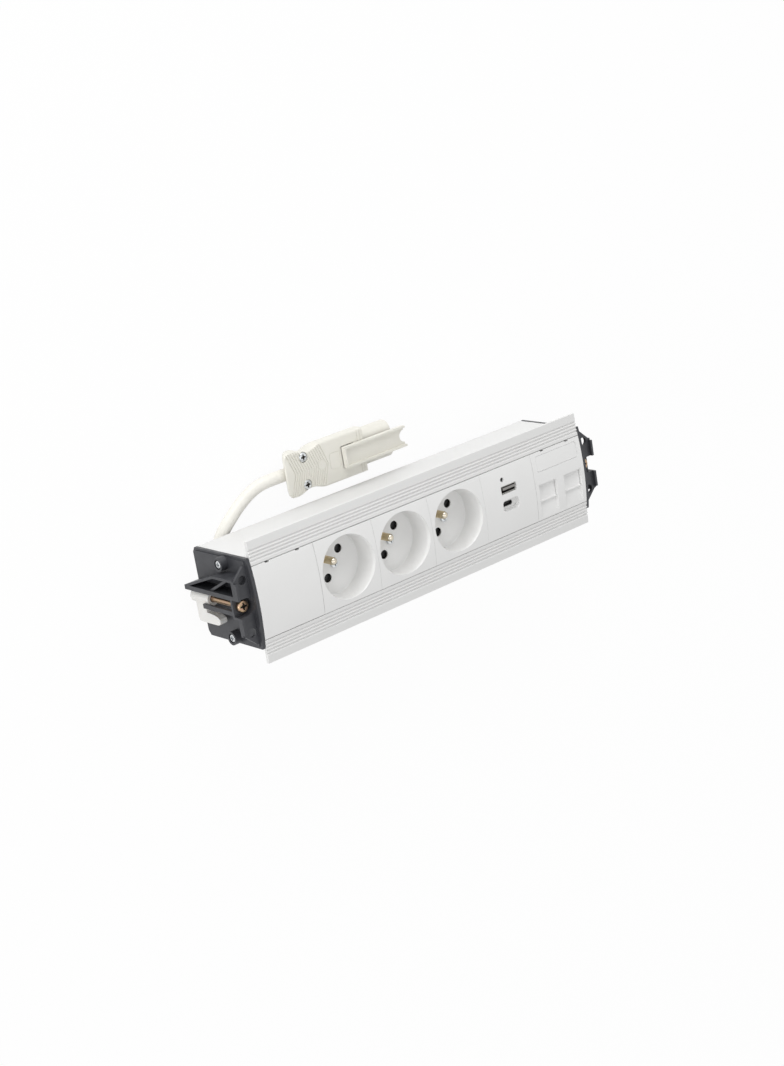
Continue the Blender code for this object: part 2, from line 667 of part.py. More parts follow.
def crowned_plate(name, index):
    """Front plate of a module, crowned across, with snap legs under the lips."""
    low, high = plate_span(index)
    outline = crown_line(-PLATE_HALF, PLATE_HALF)
    outline += [(PLATE_HALF, EDGE_Z - PLATE_THICK), (-PLATE_HALF, EDGE_Z - PLATE_THICK)]
    middle = module_centre(index)
    plate = place(name, prism(outline, "X", low, high), "white_plate_plastic",
                  centre=(middle, 0, EDGE_Z))
    hook_top = LIP_BOTTOM - CLEAR
    hook_low = hook_top - HOOK_HIGH
    outer = PLATE_HALF - CLEAR
    for side in (1, -1):
        leg = [(outer - LEG_THICK, EDGE_Z - PLATE_THICK + OVERLAP), (outer, EDGE_Z - PLATE_THICK + OVERLAP),
               (outer, hook_top), (outer + HOOK_REACH, hook_top),
               (outer, hook_low), (outer, hook_top - LEG_LONG), (outer - LEG_THICK, hook_top - LEG_LONG)]
        leg = [(side * y, z) for y, z in leg]
        add(plate, prism(leg, "X", middle - LEG_HALF, middle + LEG_HALF))
    return plate


def cut_latches(plate, index):
    """Two small release notches in the plate's long edge."""
    middle = module_centre(index)
    for side in (1, -1):
        x = middle + side * LATCH_PITCH / 2
        cut(plate, box((x - LATCH_WIDE / 2, x + LATCH_WIDE / 2),
                       (PLATE_HALF - LATCH_DEEP, PLATE_HALF + OVERLAP),
                       (EDGE_Z - PLATE_THICK - OVERLAP, EDGE_Z + CROWN)))


def pin_place(centre_x, along, across=0.0):
    """A point of a socket, given along its line of pins and across it
    towards the earth pin."""
    a = math.cos(PIN_ANGLE)
    b = math.sin(PIN_ANGLE)
    return (centre_x + along * a - across * b, along * b + across * a)


def build_socket(number, index):
    """One socket outlet: plate with its cup, base, earth pin, centre screw,
    two contact sleeves and the sliding safety shutter."""
    prefix = "socket_%d_" % number
    middle = module_centre(index)
    front = crowned_plate(prefix + "front", index)
    centre = (middle, 0)
    add(front, rod(centre, RECESS_RADIUS + RECESS_WALL, "Z", FLOOR_BOTTOM,
                   EDGE_Z - PLATE_THICK / 2, RECESS_FACETS))
    lead = RECESS_RADIUS + RECESS_LEAD
    recess = [(RECESS_RADIUS, FLOOR_TOP), (RECESS_RADIUS, EDGE_Z - RECESS_LEAD),
              (RECESS_RADIUS + RECESS_LEAD / 3, EDGE_Z), (lead, EDGE_Z + CROWN),
              (lead, EDGE_Z + 2 * CROWN)]
    cut(front, turned(centre, recess, RECESS_FACETS))
    earth = pin_place(middle, 0, EARTH_SPREAD)
    through = (FLOOR_BOTTOM - OVERLAP, FLOOR_TOP + OVERLAP)
    for side in (1, -1):
        cut(front, rod(pin_place(middle, side * PIN_SPREAD), PIN_HOLE_RADIUS, "Z", *through))
    cut(front, rod(earth, EARTH_RADIUS + CLEAR, "Z", *through))
    cut(front, rod(centre, SHANK_CLEAR, "Z", *through, 12))
    build_socket_base(prefix + "base", middle)
    build_socket_shutter(prefix + "shutter", middle)
    for side, label in ((1, "contact_a"), (-1, "contact_b")):
        build_contact(prefix + label, pin_place(middle, side * PIN_SPREAD))
    build_earth_pin(prefix + "earth_pin", earth)
    seat = FLOOR_TOP + CLEAR
    top = seat + SCREW_HEAD_HIGH
    profile = [(SCREW_SHANK_RADIUS, seat - SOCKET_SCREW_LONG), (SCREW_SHANK_RADIUS, seat),
               (SCREW_HEAD_RADIUS, seat), (SCREW_HEAD_RADIUS, top - CLEAR),
               (SCREW_HEAD_RADIUS - CLEAR * 2, top)]
    screw = place(prefix + "screw", turned(centre, profile, 18), "bright_zinc_steel",
                  centre=(*centre, seat))
    cut(screw, cross_recess(centre, SCREW_HEAD_RADIUS, "Z", top, SCREW_HEAD_HIGH / 2))


def shutter_floor():
    return BASE_TOP - CLEAR * 2 - SHUTTER_THICK


def shutter_box(middle, along, across, z):
    """A box turned to lie along the line of pins."""
    corners = ((-1, 0), (1, 0), (1, 1), (-1, 1))
    outline = [pin_place(middle, side * along, across[end]) for side, end in corners]
    return prism(outline, "Z", *z)


def build_socket_base(name, middle):
    """Moulded block behind the cup, hollowed for the shutter and the contacts."""
    low = BASE_TOP - BASE_HIGH
    base = place(name, box((middle - BASE_HALF, middle + BASE_HALF), (-BASE_HALF, BASE_HALF),
                           (low, BASE_TOP)), "grey_inner_plastic", centre=(middle, 0, BASE_TOP))
    floor = shutter_floor()
    back = shutter_back() - CLEAR
    front = shutter_front() + SHUTTER_TRAVEL + CLEAR
    cut(base, shutter_box(middle, SHUTTER_LONG / 2 + CLEAR, (back, front), (floor, BASE_TOP + OVERLAP)))
    depth = floor - CONTACT_LONG - 2 * CLEAR
    for side in (1, -1):
        cut(base, rod(pin_place(middle, side * PIN_SPREAD), CONTACT_RADIUS + CLEAR, "Z", depth,
                      floor + OVERLAP, 16))
    cut(base, rod(pin_place(middle, 0, EARTH_SPREAD), EARTH_RADIUS + CLEAR, "Z", depth,
                  BASE_TOP + OVERLAP, 16))
    cut(base, rod((middle, 0), SHANK_CLEAR, "Z", depth, floor + OVERLAP, 12))


def shutter_back():
    """Edge of the shutter away from the earth pin."""
    return -SHUTTER_TRAVEL - SHUTTER_HEEL - SCREW_SHANK_RADIUS - 2 * CLEAR


def shutter_front():
    return PIN_HOLE_RADIUS + SHUTTER_LAP


def build_socket_shutter(name, middle):
    """Slide that closes both pin holes; its windows line up when it is pushed."""
    floor = shutter_floor() + CLEAR
    height = (floor, floor + SHUTTER_THICK)
    back = shutter_back()
    shutter = place(name, shutter_box(middle, SHUTTER_LONG / 2, (back, shutter_front()), height),
                    "black_port_plastic", centre=(middle, 0, floor))
    span = (height[0] - OVERLAP, height[1] + OVERLAP)
    for side in (1, -1):
        cut(shutter, rod(pin_place(middle, side * PIN_SPREAD, -SHUTTER_TRAVEL),
                         PIN_HOLE_RADIUS + CLEAR, "Z", *span, 16))
    cut(shutter, shutter_box(middle, SHUTTER_SLOT / 2, (back + SHUTTER_HEEL, shutter_front() + OVERLAP),
                             span))


def build_contact(name, centre):
    top = shutter_floor() - CLEAR
    low = top - CONTACT_LONG
    sleeve = place(name, rod(centre, CONTACT_RADIUS, "Z", low, top, 16), "nickel_brass",
                   centre=(*centre, low))
    cut(sleeve, rod(centre, CONTACT_RADIUS - CONTACT_WALL, "Z", low + 2 * CONTACT_WALL,
                    top + OVERLAP, 16))


def build_earth_pin(name, centre):
    """Round pin with a domed tip."""
    low = shutter_floor() - CONTACT_LONG - CLEAR
    top = EDGE_Z - EARTH_BELOW_FACE
    profile = [(EARTH_RADIUS, low)]
    for step in range(5):
        turn = math.radians(84) * step / 4
        profile.append((EARTH_RADIUS * math.cos(turn), top - EARTH_RADIUS * (1 - math.sin(turn))))
    place(name, turned(centre, profile, 18), "nickel_brass", centre=(*centre, low))


def build_charger(index):
    """Charging outlet with one wide and one small port."""
    middle = module_centre(index)
    plate = crowned_plate("usb_plate", index)
    port_floor = EDGE_Z - PORT_DEEP
    a_centre = (middle, USB_A_CENTRE_Y)
    c_centre = (middle, USB_C_CENTRE_Y)
    block_wide = USB_C_WELL_WIDE + 2 * PORT_BLOCK_WALL
    block_y = (USB_C_CENTRE_Y - USB_C_WELL_HIGH / 2 - PORT_BLOCK_WALL,
               USB_A_CENTRE_Y + USB_A_HIGH / 2 + PORT_BLOCK_WALL)
    add(plate, box((middle - block_wide / 2, middle + block_wide / 2), block_y,
                   (port_floor, EDGE_Z - PLATE_THICK / 2)))
    top = EDGE_Z + 2 * CROWN
    a_hole = rounded(a_centre, USB_A_WIDE, USB_A_HIGH, USB_A_SKIN, 2)
    cut(plate, prism(a_hole, "Z", port_floor - OVERLAP, top))
    well = rounded(c_centre, USB_C_WELL_WIDE, USB_C_WELL_HIGH, USB_C_WELL_RADIUS)
    well_floor = crown_height(USB_C_CENTRE_Y) - USB_C_WELL_DEEP
    cut(plate, prism(well, "Z", well_floor, top))
    c_round = USB_C_HIGH / 2 - CLEAR / 3
    c_hole = rounded(c_centre, USB_C_WIDE, USB_C_HIGH, c_round)
    cut(plate, prism(c_hole, "Z", port_floor - OVERLAP, top))
    status = (middle + STATUS_HOLE_X, STATUS_HOLE_Y)
    cut(plate, rod(status, STATUS_HOLE_RADIUS, "Z", EDGE_Z - PLATE_THICK - OVERLAP, top, 16))
    build_wide_port(a_centre, port_floor)
    build_small_port(c_centre, port_floor, well_floor)
    body_top = port_floor - CLEAR
    place("usb_charger_body",
          box((middle - CHARGER_HALF, middle + CHARGER_HALF), (-CHARGER_HALF, CHARGER_HALF),
              (body_top - CHARGER_HIGH, body_top)),
          "grey_inner_plastic", centre=(middle, 0, body_top))


def build_wide_port(centre, low):
    top = EDGE_Z + CLEAR
    wide = USB_A_WIDE - 2 * CLEAR
    high = USB_A_HIGH - 2 * CLEAR
    shell = place("usb_a_shell", prism(rounded(centre, wide, high, USB_A_SKIN, 2), "Z", low, top),
                  "bright_zinc_steel", centre=(*centre, low))
    inner = rounded(centre, wide - 2 * USB_A_SKIN, high - 2 * USB_A_SKIN, USB_A_SKIN / 2, 2)
    cut(shell, prism(inner, "Z", low - OVERLAP, top + OVERLAP))
    offset = (centre[0], centre[1] + high / 2 - USB_A_SKIN - CLEAR - USB_A_TONGUE_HIGH / 2)
    tongue = rounded(offset, USB_A_TONGUE_WIDE, USB_A_TONGUE_HIGH, USB_A_SKIN / 2, 2)
    place("usb_a_tongue", prism(tongue, "Z", low, top - 2 * USB_A_SKIN), "grey_inner_plastic",
          centre=(*centre, low))


def build_small_port(centre, low, top):
    wide = USB_C_WIDE - 2 * CLEAR
    high = USB_C_HIGH - 2 * CLEAR
    top = top - CLEAR
    shell = place("usb_c_shell", prism(rounded(centre, wide, high, high / 2.2), "Z", low, top),
                  "black_port_plastic", centre=(*centre, low))
    inner_high = high - 2 * USB_C_SKIN
    inner = rounded(centre, wide - 2 * USB_C_SKIN, inner_high, inner_high / 2.2)
    floor = low + 4 * USB_C_SKIN
    cut(shell, prism(inner, "Z", floor, top + OVERLAP))
    half_wide = USB_C_TONGUE_WIDE / 2
    half_high = USB_C_TONGUE_HIGH / 2
    add(shell, box((centre[0] - half_wide, centre[0] + half_wide),
                   (centre[1] - half_high, centre[1] + half_high), (floor - CLEAR, top - USB_C_HIGH / 4)))


def crowned_pad(x, y, low_drop, high_drop, corner):
    """A pad that follows the crown, with round corners."""
    steps = 4
    top = crown_line(y[0], y[1], high_drop, steps)
    bottom = crown_line(y[0], y[1], low_drop, steps)
    pad = prism(top + bottom[::-1], "X", x[0], x[1])
    corners = []
    for edge in pad.edges:
        ends = [vertex.co for vertex in edge.verts]
        on_side = all(min(abs(point.y - y[0]), abs(point.y - y[1])) < CLEAR / 10 for point in ends)
        if on_side and abs(ends[0].z - ends[1].z) > CLEAR / 10:
            corners.append(edge)
    bmesh.ops.bevel(pad, geom=corners, offset=corner, segments=3, affect="EDGES", profile=0.5)
    return pad


def build_data_outlet(index):
    """Data outlet with two jacks behind sliding dust shutters, under a label window."""
    middle = module_centre(index)
    plate = crowned_plate("data_plate", index)
    cut_latches(plate, index)
    floor = EDGE_Z - TRACK_FLOOR_DROP
    block_low = floor - TRACK_FLOOR_THICK
    half = JACK_SPREAD + TRACK_WIDE / 2 + TRACK_FLOOR_THICK / 2
    slot_end = WINDOW_TOP + DUST_SHUTTER_TRAVEL + CLEAR
    block_y = (WINDOW_BOTTOM - TRACK_FLOOR_THICK, slot_end + TRACK_FLOOR_THICK)
    add(plate, box((middle - half, middle + half), block_y, (block_low, EDGE_Z - OVERLAP)))
    mouth_top = WINDOW_TOP - JACK_MOUTH_DROP
    mouth = (mouth_top - JACK_MOUTH_HIGH, mouth_top)
    slot_top = floor + DUST_SHUTTER_THICK + 2 * CLEAR
    for side, label in ((-1, "left"), (1, "right")):
        x = middle + side * JACK_SPREAD
        track = (x - TRACK_WIDE / 2, x + TRACK_WIDE / 2)
        cut(plate, prism(thumb_ramp(), "X", *track))
        cut(plate, box(track, (WINDOW_BOTTOM, WINDOW_TOP), (floor, EDGE_Z + 2 * CROWN)))
        cut(plate, box(track, (WINDOW_TOP - OVERLAP, slot_end), (floor, slot_top)))
        cut(plate, box((x - JACK_MOUTH_WIDE / 2, x + JACK_MOUTH_WIDE / 2), mouth,
                       (block_low - OVERLAP, floor + OVERLAP)))
        build_dust_shutter("data_shutter_" + label, x, floor + CLEAR)
        build_jack("data_jack_" + label, x, mouth, block_low - CLEAR)
    label_x = (middle - LABEL_WIDE / 2, middle + LABEL_WIDE / 2)
    sink = LABEL_THICK + 2 * CLEAR
    cut(plate, crowned_pad(label_x, (LABEL_LOW, LABEL_HIGH), sink, -CROWN, LABEL_RADIUS))
    pane = crowned_pad((label_x[0] + CLEAR, label_x[1] - CLEAR), (LABEL_LOW + CLEAR, LABEL_HIGH - CLEAR),
                       sink - CLEAR, CLEAR, LABEL_RADIUS - CLEAR)
    place("label_window", pane, "clear_window_plastic", centre=(middle, LABEL_LOW, EDGE_Z))


def thumb_ramp():
    """Side view in (y, z) of the ramp that leads a thumb to the shutter's bar; it
    rises from the window until it runs out of the crown."""
    start = EDGE_Z - THUMB_RAMP_DROP
    slope = (crown_height(THUMB_RAMP_BOTTOM) - start) / (WINDOW_BOTTOM - THUMB_RAMP_BOTTOM)
    inner = WINDOW_BOTTOM + OVERLAP
    outer = THUMB_RAMP_BOTTOM - CROWN
    top = EDGE_Z + 2 * CROWN
    return [(inner, start - slope * OVERLAP), (inner, top), (outer, top),
            (outer, start + slope * (WINDOW_BOTTOM - outer))]


def build_dust_shutter(name, x, low):
    """Flat slide with a raised thumb bar along its lower edge; it slides up
    into a slot behind the plate."""
    half = TRACK_WIDE / 2 - CLEAR
    top_y = WINDOW_TOP - CLEAR
    low_y = top_y - DUST_SHUTTER_HIGH
    top = low + DUST_SHUTTER_THICK
    bar = DUST_SHUTTER_GRIP
    outline = [(low_y, low), (top_y, low), (top_y, top), (low_y + 2.5 * bar, top),
               (low_y + 1.5 * bar, top + bar), (low_y + 0.5 * bar, top + bar), (low_y, top)]
    place(name, prism(outline, "X", x - half, x + half), "white_plate_plastic", centre=(x, top_y, low))


def build_jack(name, x, mouth, top):
    """Data jack: a block with its plug cavity and a contact ramp inside."""
    half = JACK_MOUTH_WIDE / 2
    low = top - JACK_DEEP - JACK_WALL
    jack = place(name, box((x - half - JACK_WALL, x + half + JACK_WALL),
                           (mouth[0] - JACK_WALL, mouth[1] + JACK_WALL), (low, top)),
                 "grey_inner_plastic", centre=(x, 0, top))
    cut(jack, box((x - half, x + half), mouth, (top - JACK_DEEP, top + OVERLAP)))
    outer = mouth[1] + OVERLAP
    inner = mouth[1] - 0.9 * JACK_WALL
    bed = top - JACK_DEEP - OVERLAP
    ramp = [(outer, top - JACK_DEEP / 2), (inner, top - JACK_DEEP * 0.8), (inner, bed), (outer, bed)]
    add(jack, prism(ramp, "X", x - half * 0.8, x + half * 0.8))


def build_hoods():
    """Two hoods that close the cable holes in the back and stand on the floor."""
    spans = {"mains_cord_hood": (MAINS_HOOD_X, -HOOD_EDGE, MAINS_HOOD_FRONT),
             "data_cord_hood": (-MAINS_HOOD_X, -HOOD_EDGE, HOOD_EDGE)}
    for name, (x, low, high) in spans.items():
        outline = rounded((x, (low + high) / 2), HOOD_WIDE, high - low, HOOD_ROUND)
        foot = rounded((x, (low + high) / 2), HOOD_WIDE - HOOD_ROUND, high - low - HOOD_ROUND, HOOD_ROUND)
        rings = [[(a, b, z) for a, b in ring] for ring, z in
                 ((foot, 0.0), (outline, HOOD_ROUND / 2), (outline, HOOD_HEIGHT))]
        hood = place(name, loft(*rings), "black_glass_nylon", centre=(x, low, 0))
        if x > 0:
            wall = x - HOOD_WIDE / 2
            for side in (1, -1):
                cut(hood, rod((side * KNOCKOUT_Y, HOOD_HEIGHT / 2), KNOCKOUT_RADIUS, "X",
                              wall - OVERLAP, wall + KNOCKOUT_DEEP))


def cord_route():
    """Points chosen by hand along the lead, from the strain relief to the connector."""
    return [Vector(point) * MM for point in CORD_ROUTE]


def smooth_curve(points, spacing):
    """Reads points at an even spacing from a Catmull-Rom curve through the route."""
    ends = [2 * points[0] - points[1]] + points + [2 * points[-1] - points[-2]]
    dense = []
    for before, start, end, after in zip(ends, ends[1:], ends[2:], ends[3:]):
        for step in range(16):
            t = step / 16
            dense.append(0.5 * ((2 * start) + (end - before) * t
                                + (2 * before - 5 * start + 4 * end - after) * t * t
                                + (3 * start - before - 3 * end + after) * t ** 3))
    dense.append(points[-1])
    total = sum((b - a).length for a, b in zip(dense, dense[1:]))
    count = max(2, round(total / spacing))
    wanted = [total * step / count for step in range(count + 1)]
    result = [dense[0]]
    walked = 0.0
    for a, b in zip(dense, dense[1:]):
        length = (b - a).length
        while len(result) < count and wanted[len(result)] <= walked + length:
            result.append(a.lerp(b, (wanted[len(result)] - walked) / length))
        walked += length
    result.append(dense[-1])
    return result


def build_lead():
    """Tapered strain relief and the tube of the cord."""
    start = MAINS_HOOD_FRONT + CLEAR
    rings = []
    for share in (0.0, 0.15, 1.0):
        radius = RELIEF_ROOT_RADIUS if share < 0.5 else RELIEF_TIP_RADIUS
        y = start + RELIEF_LONG * share
        rings.append([(a, y, b) for a, b in circle((MAINS_HOOD_X, RELIEF_ROOT_RADIUS + CLEAR / 3), radius)])
    place("cord_strain_relief", loft(*rings), "cream_cord_jacket",
          centre=(MAINS_HOOD_X, start, RELIEF_ROOT_RADIUS))
    route = cord_route()
    points = [route[0]] + smooth_curve(route[1:-1], CORD_POINT_PITCH) + [route[-1]]
    curve = bpy.data.curves.new("mains_cord", "CURVE")
    curve.dimensions = "3D"
    curve.bevel_depth = CORD_RADIUS
    curve.bevel_resolution = 3
    curve.use_fill_caps = True
    spline = curve.splines.new("POLY")
    spline.points.add(len(points) - 1)
    for vertex, point in zip(spline.points, points):
        vertex.co = (*point, 1.0)
    cord = bpy.data.objects.new("mains_cord", curve)
    curve.materials.append(finish_material("cream_cord_jacket"))
    bpy.context.collection.objects.link(cord)


def shell_half_width(along):
    """Half width of the connector's shell: round at the cord end, then a waist."""
    width = SHELL_HALF
    if abs(along - WAIST_AT) < WAIST_SPAN:
        width -= WAIST_DIP * 0.5 * (1 + math.cos(math.pi * (along - WAIST_AT) / WAIST_SPAN))
    if along < SHELL_REAR_ROUND:
        rest = 1 - along / SHELL_REAR_ROUND
        width -= SHELL_REAR_ROUND * (1 - math.sqrt(max(0.0, 1 - rest * rest)))
    return width


def shell_outline(edge):
    """Plan of the shell in world x and y, drawn in by edge all round."""
    rear = [SHELL_REAR_ROUND * share for share in (0.0, 0.08, 0.3, 0.6)]
    waist = [WAIST_AT + WAIST_SPAN * (step / 5 - 1) for step in range(11)]
    stations = rear + waist + [SHELL_LONG - SHELL_EDGE, SHELL_LONG]
    upper = []
    for along in stations:
        drawn = min(max(along, edge), SHELL_LONG - edge)
        chamfer = SHELL_EDGE / 2 if along == SHELL_LONG else 0.0
        upper.append((CONNECTOR_X + drawn, shell_half_width(along) - edge - chamfer))
    right = [(x, CONNECTOR_Y + half) for x, half in upper]
    left = [(x, CONNECTOR_Y - half) for x, half in reversed(upper)]
    return right + left


def shell_half(name, outer_z, inner_z):
    """Half of the connector's shell; its outer face has soft edges."""
    step = SHELL_EDGE if inner_z > outer_z else -SHELL_EDGE
    levels = ((outer_z, SHELL_EDGE * 0.8), (outer_z + step * 0.35, SHELL_EDGE * 0.3),
              (outer_z + step, 0.0), (inner_z, 0.0))
    rings = [[(x, y, z) for x, y in shell_outline(edge)] for z, edge in levels]
    half = place(name, loft(*rings), "cream_connector_plastic",
                 centre=(CONNECTOR_X, CONNECTOR_Y, inner_z))
    front = CONNECTOR_X + SHELL_LONG
    tenon = rounded((CONNECTOR_Y, SHELL_MIDDLE), 2 * (NOSE_HALF - TENON_STEP + CLEAR),
                    NOSE_HIGH - 2 * TENON_STEP + 2 * CLEAR, (NOSE_HIGH - 2 * TENON_STEP) / 2)
    cut(half, prism(tenon, "X", front - TENON_LONG - CLEAR, front + OVERLAP))
    for side in (1, -1):
        centre = (CONNECTOR_X + SHELL_SCREW_X, CONNECTOR_Y + side * SHELL_SCREW_Y)
        low = SHELL_MIDDLE * 0.4
        cut(half, rod(centre, SHANK_CLEAR, "Z", low, SHELL_THICK + OVERLAP, 16))
    return half


def groove_tool():
    """All chevron grooves of the grip as one tool, their tips towards the nose."""
    data = bmesh.new()
    reach = SHELL_HALF + OVERLAP
    for number in range(GROOVE_COUNT):
        tip = CONNECTOR_X + GROOVE_FIRST + number * GROOVE_PITCH
        middle = CONNECTOR_Y
        outline = [(tip, middle), (tip - GROOVE_LEAN, middle + reach),
                   (tip - GROOVE_LEAN - GROOVE_WIDE, middle + reach), (tip - GROOVE_WIDE, middle),
                   (tip - GROOVE_LEAN - GROOVE_WIDE, middle - reach), (tip - GROOVE_LEAN, middle - reach)]
        low = SHELL_THICK - GROOVE_DEEP
        part = prism(outline, "Z", low, SHELL_THICK + OVERLAP)
        mesh = bpy.data.meshes.new("groove")
        part.to_mesh(mesh)
        part.free()
        data.from_mesh(mesh)
        bpy.data.meshes.remove(mesh)
    return data


def build_connector():
    """Installation connector: base, cover, nose with pins, locking lever, screws."""
    shell_half("connector_base", 0.0, SHELL_MIDDLE - CLEAR / 2)
    cover = shell_half("connector_cover", SHELL_THICK, SHELL_MIDDLE + CLEAR / 2)
    cut(cover, groove_tool())
    pocket_x = (CONNECTOR_X + LEVER_START - LEVER_RIM, CONNECTOR_X + LEVER_FOOT_AT - LEVER_FOOT_LONG)
    pocket_y = (CONNECTOR_Y - LEVER_HALF - 2 * CLEAR, CONNECTOR_Y + LEVER_HALF + 2 * CLEAR)
    cut(cover, box(pocket_x, pocket_y, (SHELL_THICK - LEVER_POCKET, SHELL_THICK + OVERLAP)))
    foot = CONNECTOR_X + LEVER_FOOT_AT - LEVER_FOOT_LONG
    build_shell_screws(cover)
    build_nose()
    build_lever(foot)


def build_shell_screws(cover):
    """Two countersunk screws that close the shell."""
    seat = SHELL_THICK - SCREW_HEAD_HIGH - CLEAR
    for side, label in ((1, "a"), (-1, "b")):
        centre = (CONNECTOR_X + SHELL_SCREW_X, CONNECTOR_Y + side * SHELL_SCREW_Y)
        cut(cover, rod(centre, HEAD_CLEAR, "Z", seat, SHELL_THICK + OVERLAP, 20))
        low = seat + CLEAR
        top = low + SCREW_HEAD_HIGH
        profile = [(SCREW_SHANK_RADIUS, SHELL_MIDDLE * 0.5), (SCREW_SHANK_RADIUS, low),
                   (SCREW_HEAD_RADIUS, low), (SCREW_HEAD_RADIUS, top - CLEAR),
                   (SCREW_HEAD_RADIUS - 2 * CLEAR, top)]
        screw = place("connector_screw_" + label, turned(centre, profile, 18), "bright_zinc_steel",
                      centre=(*centre, low))
        cut(screw, cross_recess(centre, SCREW_HEAD_RADIUS, "Z", top, SCREW_HEAD_HIGH / 2))


def build_nose():
    """Shroud with its tenon held between the shell halves, and the pins in it."""
    front = CONNECTOR_X + SHELL_LONG
    start = CONNECTOR_X + NOSE_START
    tip = start + NOSE_LONG
    middle = (CONNECTOR_Y, SHELL_MIDDLE)
    outer = rounded(middle, 2 * NOSE_HALF, NOSE_HIGH, NOSE_HIGH / 2.1, 6)
    nose = place("connector_insert", prism(outer, "X", start, tip), "cream_connector_plastic",
                 centre=(start, *middle))
    tenon_high = NOSE_HIGH - 2 * TENON_STEP
    tenon = rounded(middle, 2 * (NOSE_HALF - TENON_STEP), tenon_high, tenon_high / 2)
    add(nose, prism(tenon, "X", front - TENON_LONG, start + OVERLAP))
    well_high = NOSE_HIGH - 2 * NOSE_WALL
    well = rounded(middle, 2 * (NOSE_HALF - NOSE_WALL), well_high, well_high / 2.1, 6)
    cut(nose, prism(well, "X", tip - NOSE_WELL, tip + OVERLAP))
    for number, label in enumerate(("line", "earth", "neutral")):
        y = CONNECTOR_Y + (number - (PIN_COUNT - 1) / 2) * PIN_PITCH
        centre = (y, SHELL_MIDDLE)
        back = front - TENON_LONG
        cut(nose, rod(centre, PIN_RADIUS + CLEAR, "X", back - OVERLAP, tip - NOSE_WELL + OVERLAP, 16))
        end = tip - PIN_FROM_TIP
        rings = [[(x, a, b) for a, b in circle(centre, radius, 16)] for radius, x in
                 ((PIN_RADIUS, back), (PIN_RADIUS, end - PIN_RADIUS / 2), (PIN_RADIUS / 2, end))]
        place("connector_pin_" + label, loft(*rings), "nickel_brass", centre=(back, *centre))


def build_lever(foot):
    """Locking lever: a long tray that rocks on its foot and hooks over the nose."""
    low = SHELL_THICK + LEVER_LIFT
    start = CONNECTOR_X + LEVER_START
    end = start + LEVER_LONG
    top = low + LEVER_HIGH
    span = (CONNECTOR_Y - LEVER_HALF, CONNECTOR_Y + LEVER_HALF)
    side_view = [(start + LEVER_HIGH / 3, low), (end - LEVER_HIGH / 2, low), (end, low + LEVER_HIGH / 2),
                 (end, top), (start, top)]
    lever = place("connector_lever", prism(side_view, "Y", *span), "cream_connector_plastic",
                  centre=(CONNECTOR_X + LEVER_FOOT_AT, CONNECTOR_Y, SHELL_THICK))
    cut(lever, box((start + LEVER_RIM, end + OVERLAP), (span[0] + LEVER_RIM, span[1] - LEVER_RIM),
                   (low + LEVER_FLOOR, top + OVERLAP)))
    cut(lever, rod((end, CONNECTOR_Y), LEVER_NOTCH, "Z", low - OVERLAP, low + LEVER_FLOOR + OVERLAP))
    half = LEVER_HALF - LEVER_RIM
    foot_x = (foot + LEVER_FOOT_LONG / 2, foot + LEVER_FOOT_LONG * 3 / 2)
    add(lever, box(foot_x, (CONNECTOR_Y - half, CONNECTOR_Y + half),
                   (SHELL_THICK - LEVER_FOOT_DEEP, low + OVERLAP)))
    cover = bpy.data.objects["connector_cover"]
    cut(cover, box((foot_x[0] - 2 * CLEAR, foot_x[1] + 2 * CLEAR),
                   (CONNECTOR_Y - half - CLEAR, CONNECTOR_Y + half + CLEAR),
                   (SHELL_THICK - LEVER_FOOT_DEEP - CLEAR, SHELL_THICK + OVERLAP)))


def main():
    clear_scene()
    build_trough()
    for label, turn, end in (("left", 0.0, -1), ("right", math.pi, 1)):
        build_bracket("end_bracket_" + label, turn)
        build_clamp(label, turn)
        for side, edge in ((1, "back"), (-1, "front")):
            build_cap_screw("bracket_screw_%s_%s" % (label, edge), end, side)
    blank = crowned_plate("blank_plate", 0)
    cut_latches(blank, 0)
    for number, index in ((1, 1), (2, 2), (3, 3)):
        build_socket(number, index)
    build_charger(4)
    build_data_outlet(5)
    build_hoods()
    build_lead()
    build_connector()


main()
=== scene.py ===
"""Looks of the in-desk power module: six 45 mm outlets in a white aluminium trough,
a clamp bracket at each end and a short lead with a flat installation connector.

All places are in the row frame, in metres: X along the row of outlets, Z out of
their fronts, the floor at z = 0.
"""
import json
import math

import bmesh
import bpy
from mathutils import Matrix, Vector


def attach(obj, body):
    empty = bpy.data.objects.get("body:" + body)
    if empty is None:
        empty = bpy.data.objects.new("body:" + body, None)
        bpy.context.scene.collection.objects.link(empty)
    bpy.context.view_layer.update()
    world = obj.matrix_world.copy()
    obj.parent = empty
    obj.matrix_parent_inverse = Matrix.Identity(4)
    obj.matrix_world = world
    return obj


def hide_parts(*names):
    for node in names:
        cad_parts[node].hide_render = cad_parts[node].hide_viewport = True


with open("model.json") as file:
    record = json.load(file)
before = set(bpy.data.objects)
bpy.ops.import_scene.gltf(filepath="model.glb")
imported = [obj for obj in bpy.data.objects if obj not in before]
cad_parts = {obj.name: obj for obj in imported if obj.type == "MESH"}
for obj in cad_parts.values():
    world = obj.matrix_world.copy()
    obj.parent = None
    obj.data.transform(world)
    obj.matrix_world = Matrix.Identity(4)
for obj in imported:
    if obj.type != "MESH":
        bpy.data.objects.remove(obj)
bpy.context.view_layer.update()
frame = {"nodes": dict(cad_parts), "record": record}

MM = 0.001

# Row of outlets
MODULE = 45.0 * MM
ROW_HALF = 3 * MODULE
EDGE_Z = 65.7 * MM
CROWN = 1.6 * MM
PLATE_HALF = 22.6 * MM
PLATE_THICK = 2.4 * MM
PLATE_JOINT = 0.13 * MM
BOSS_TOP = EDGE_Z - 1.2 * MM
CLEAR = 0.3 * MM
OVER = 0.5 * MM

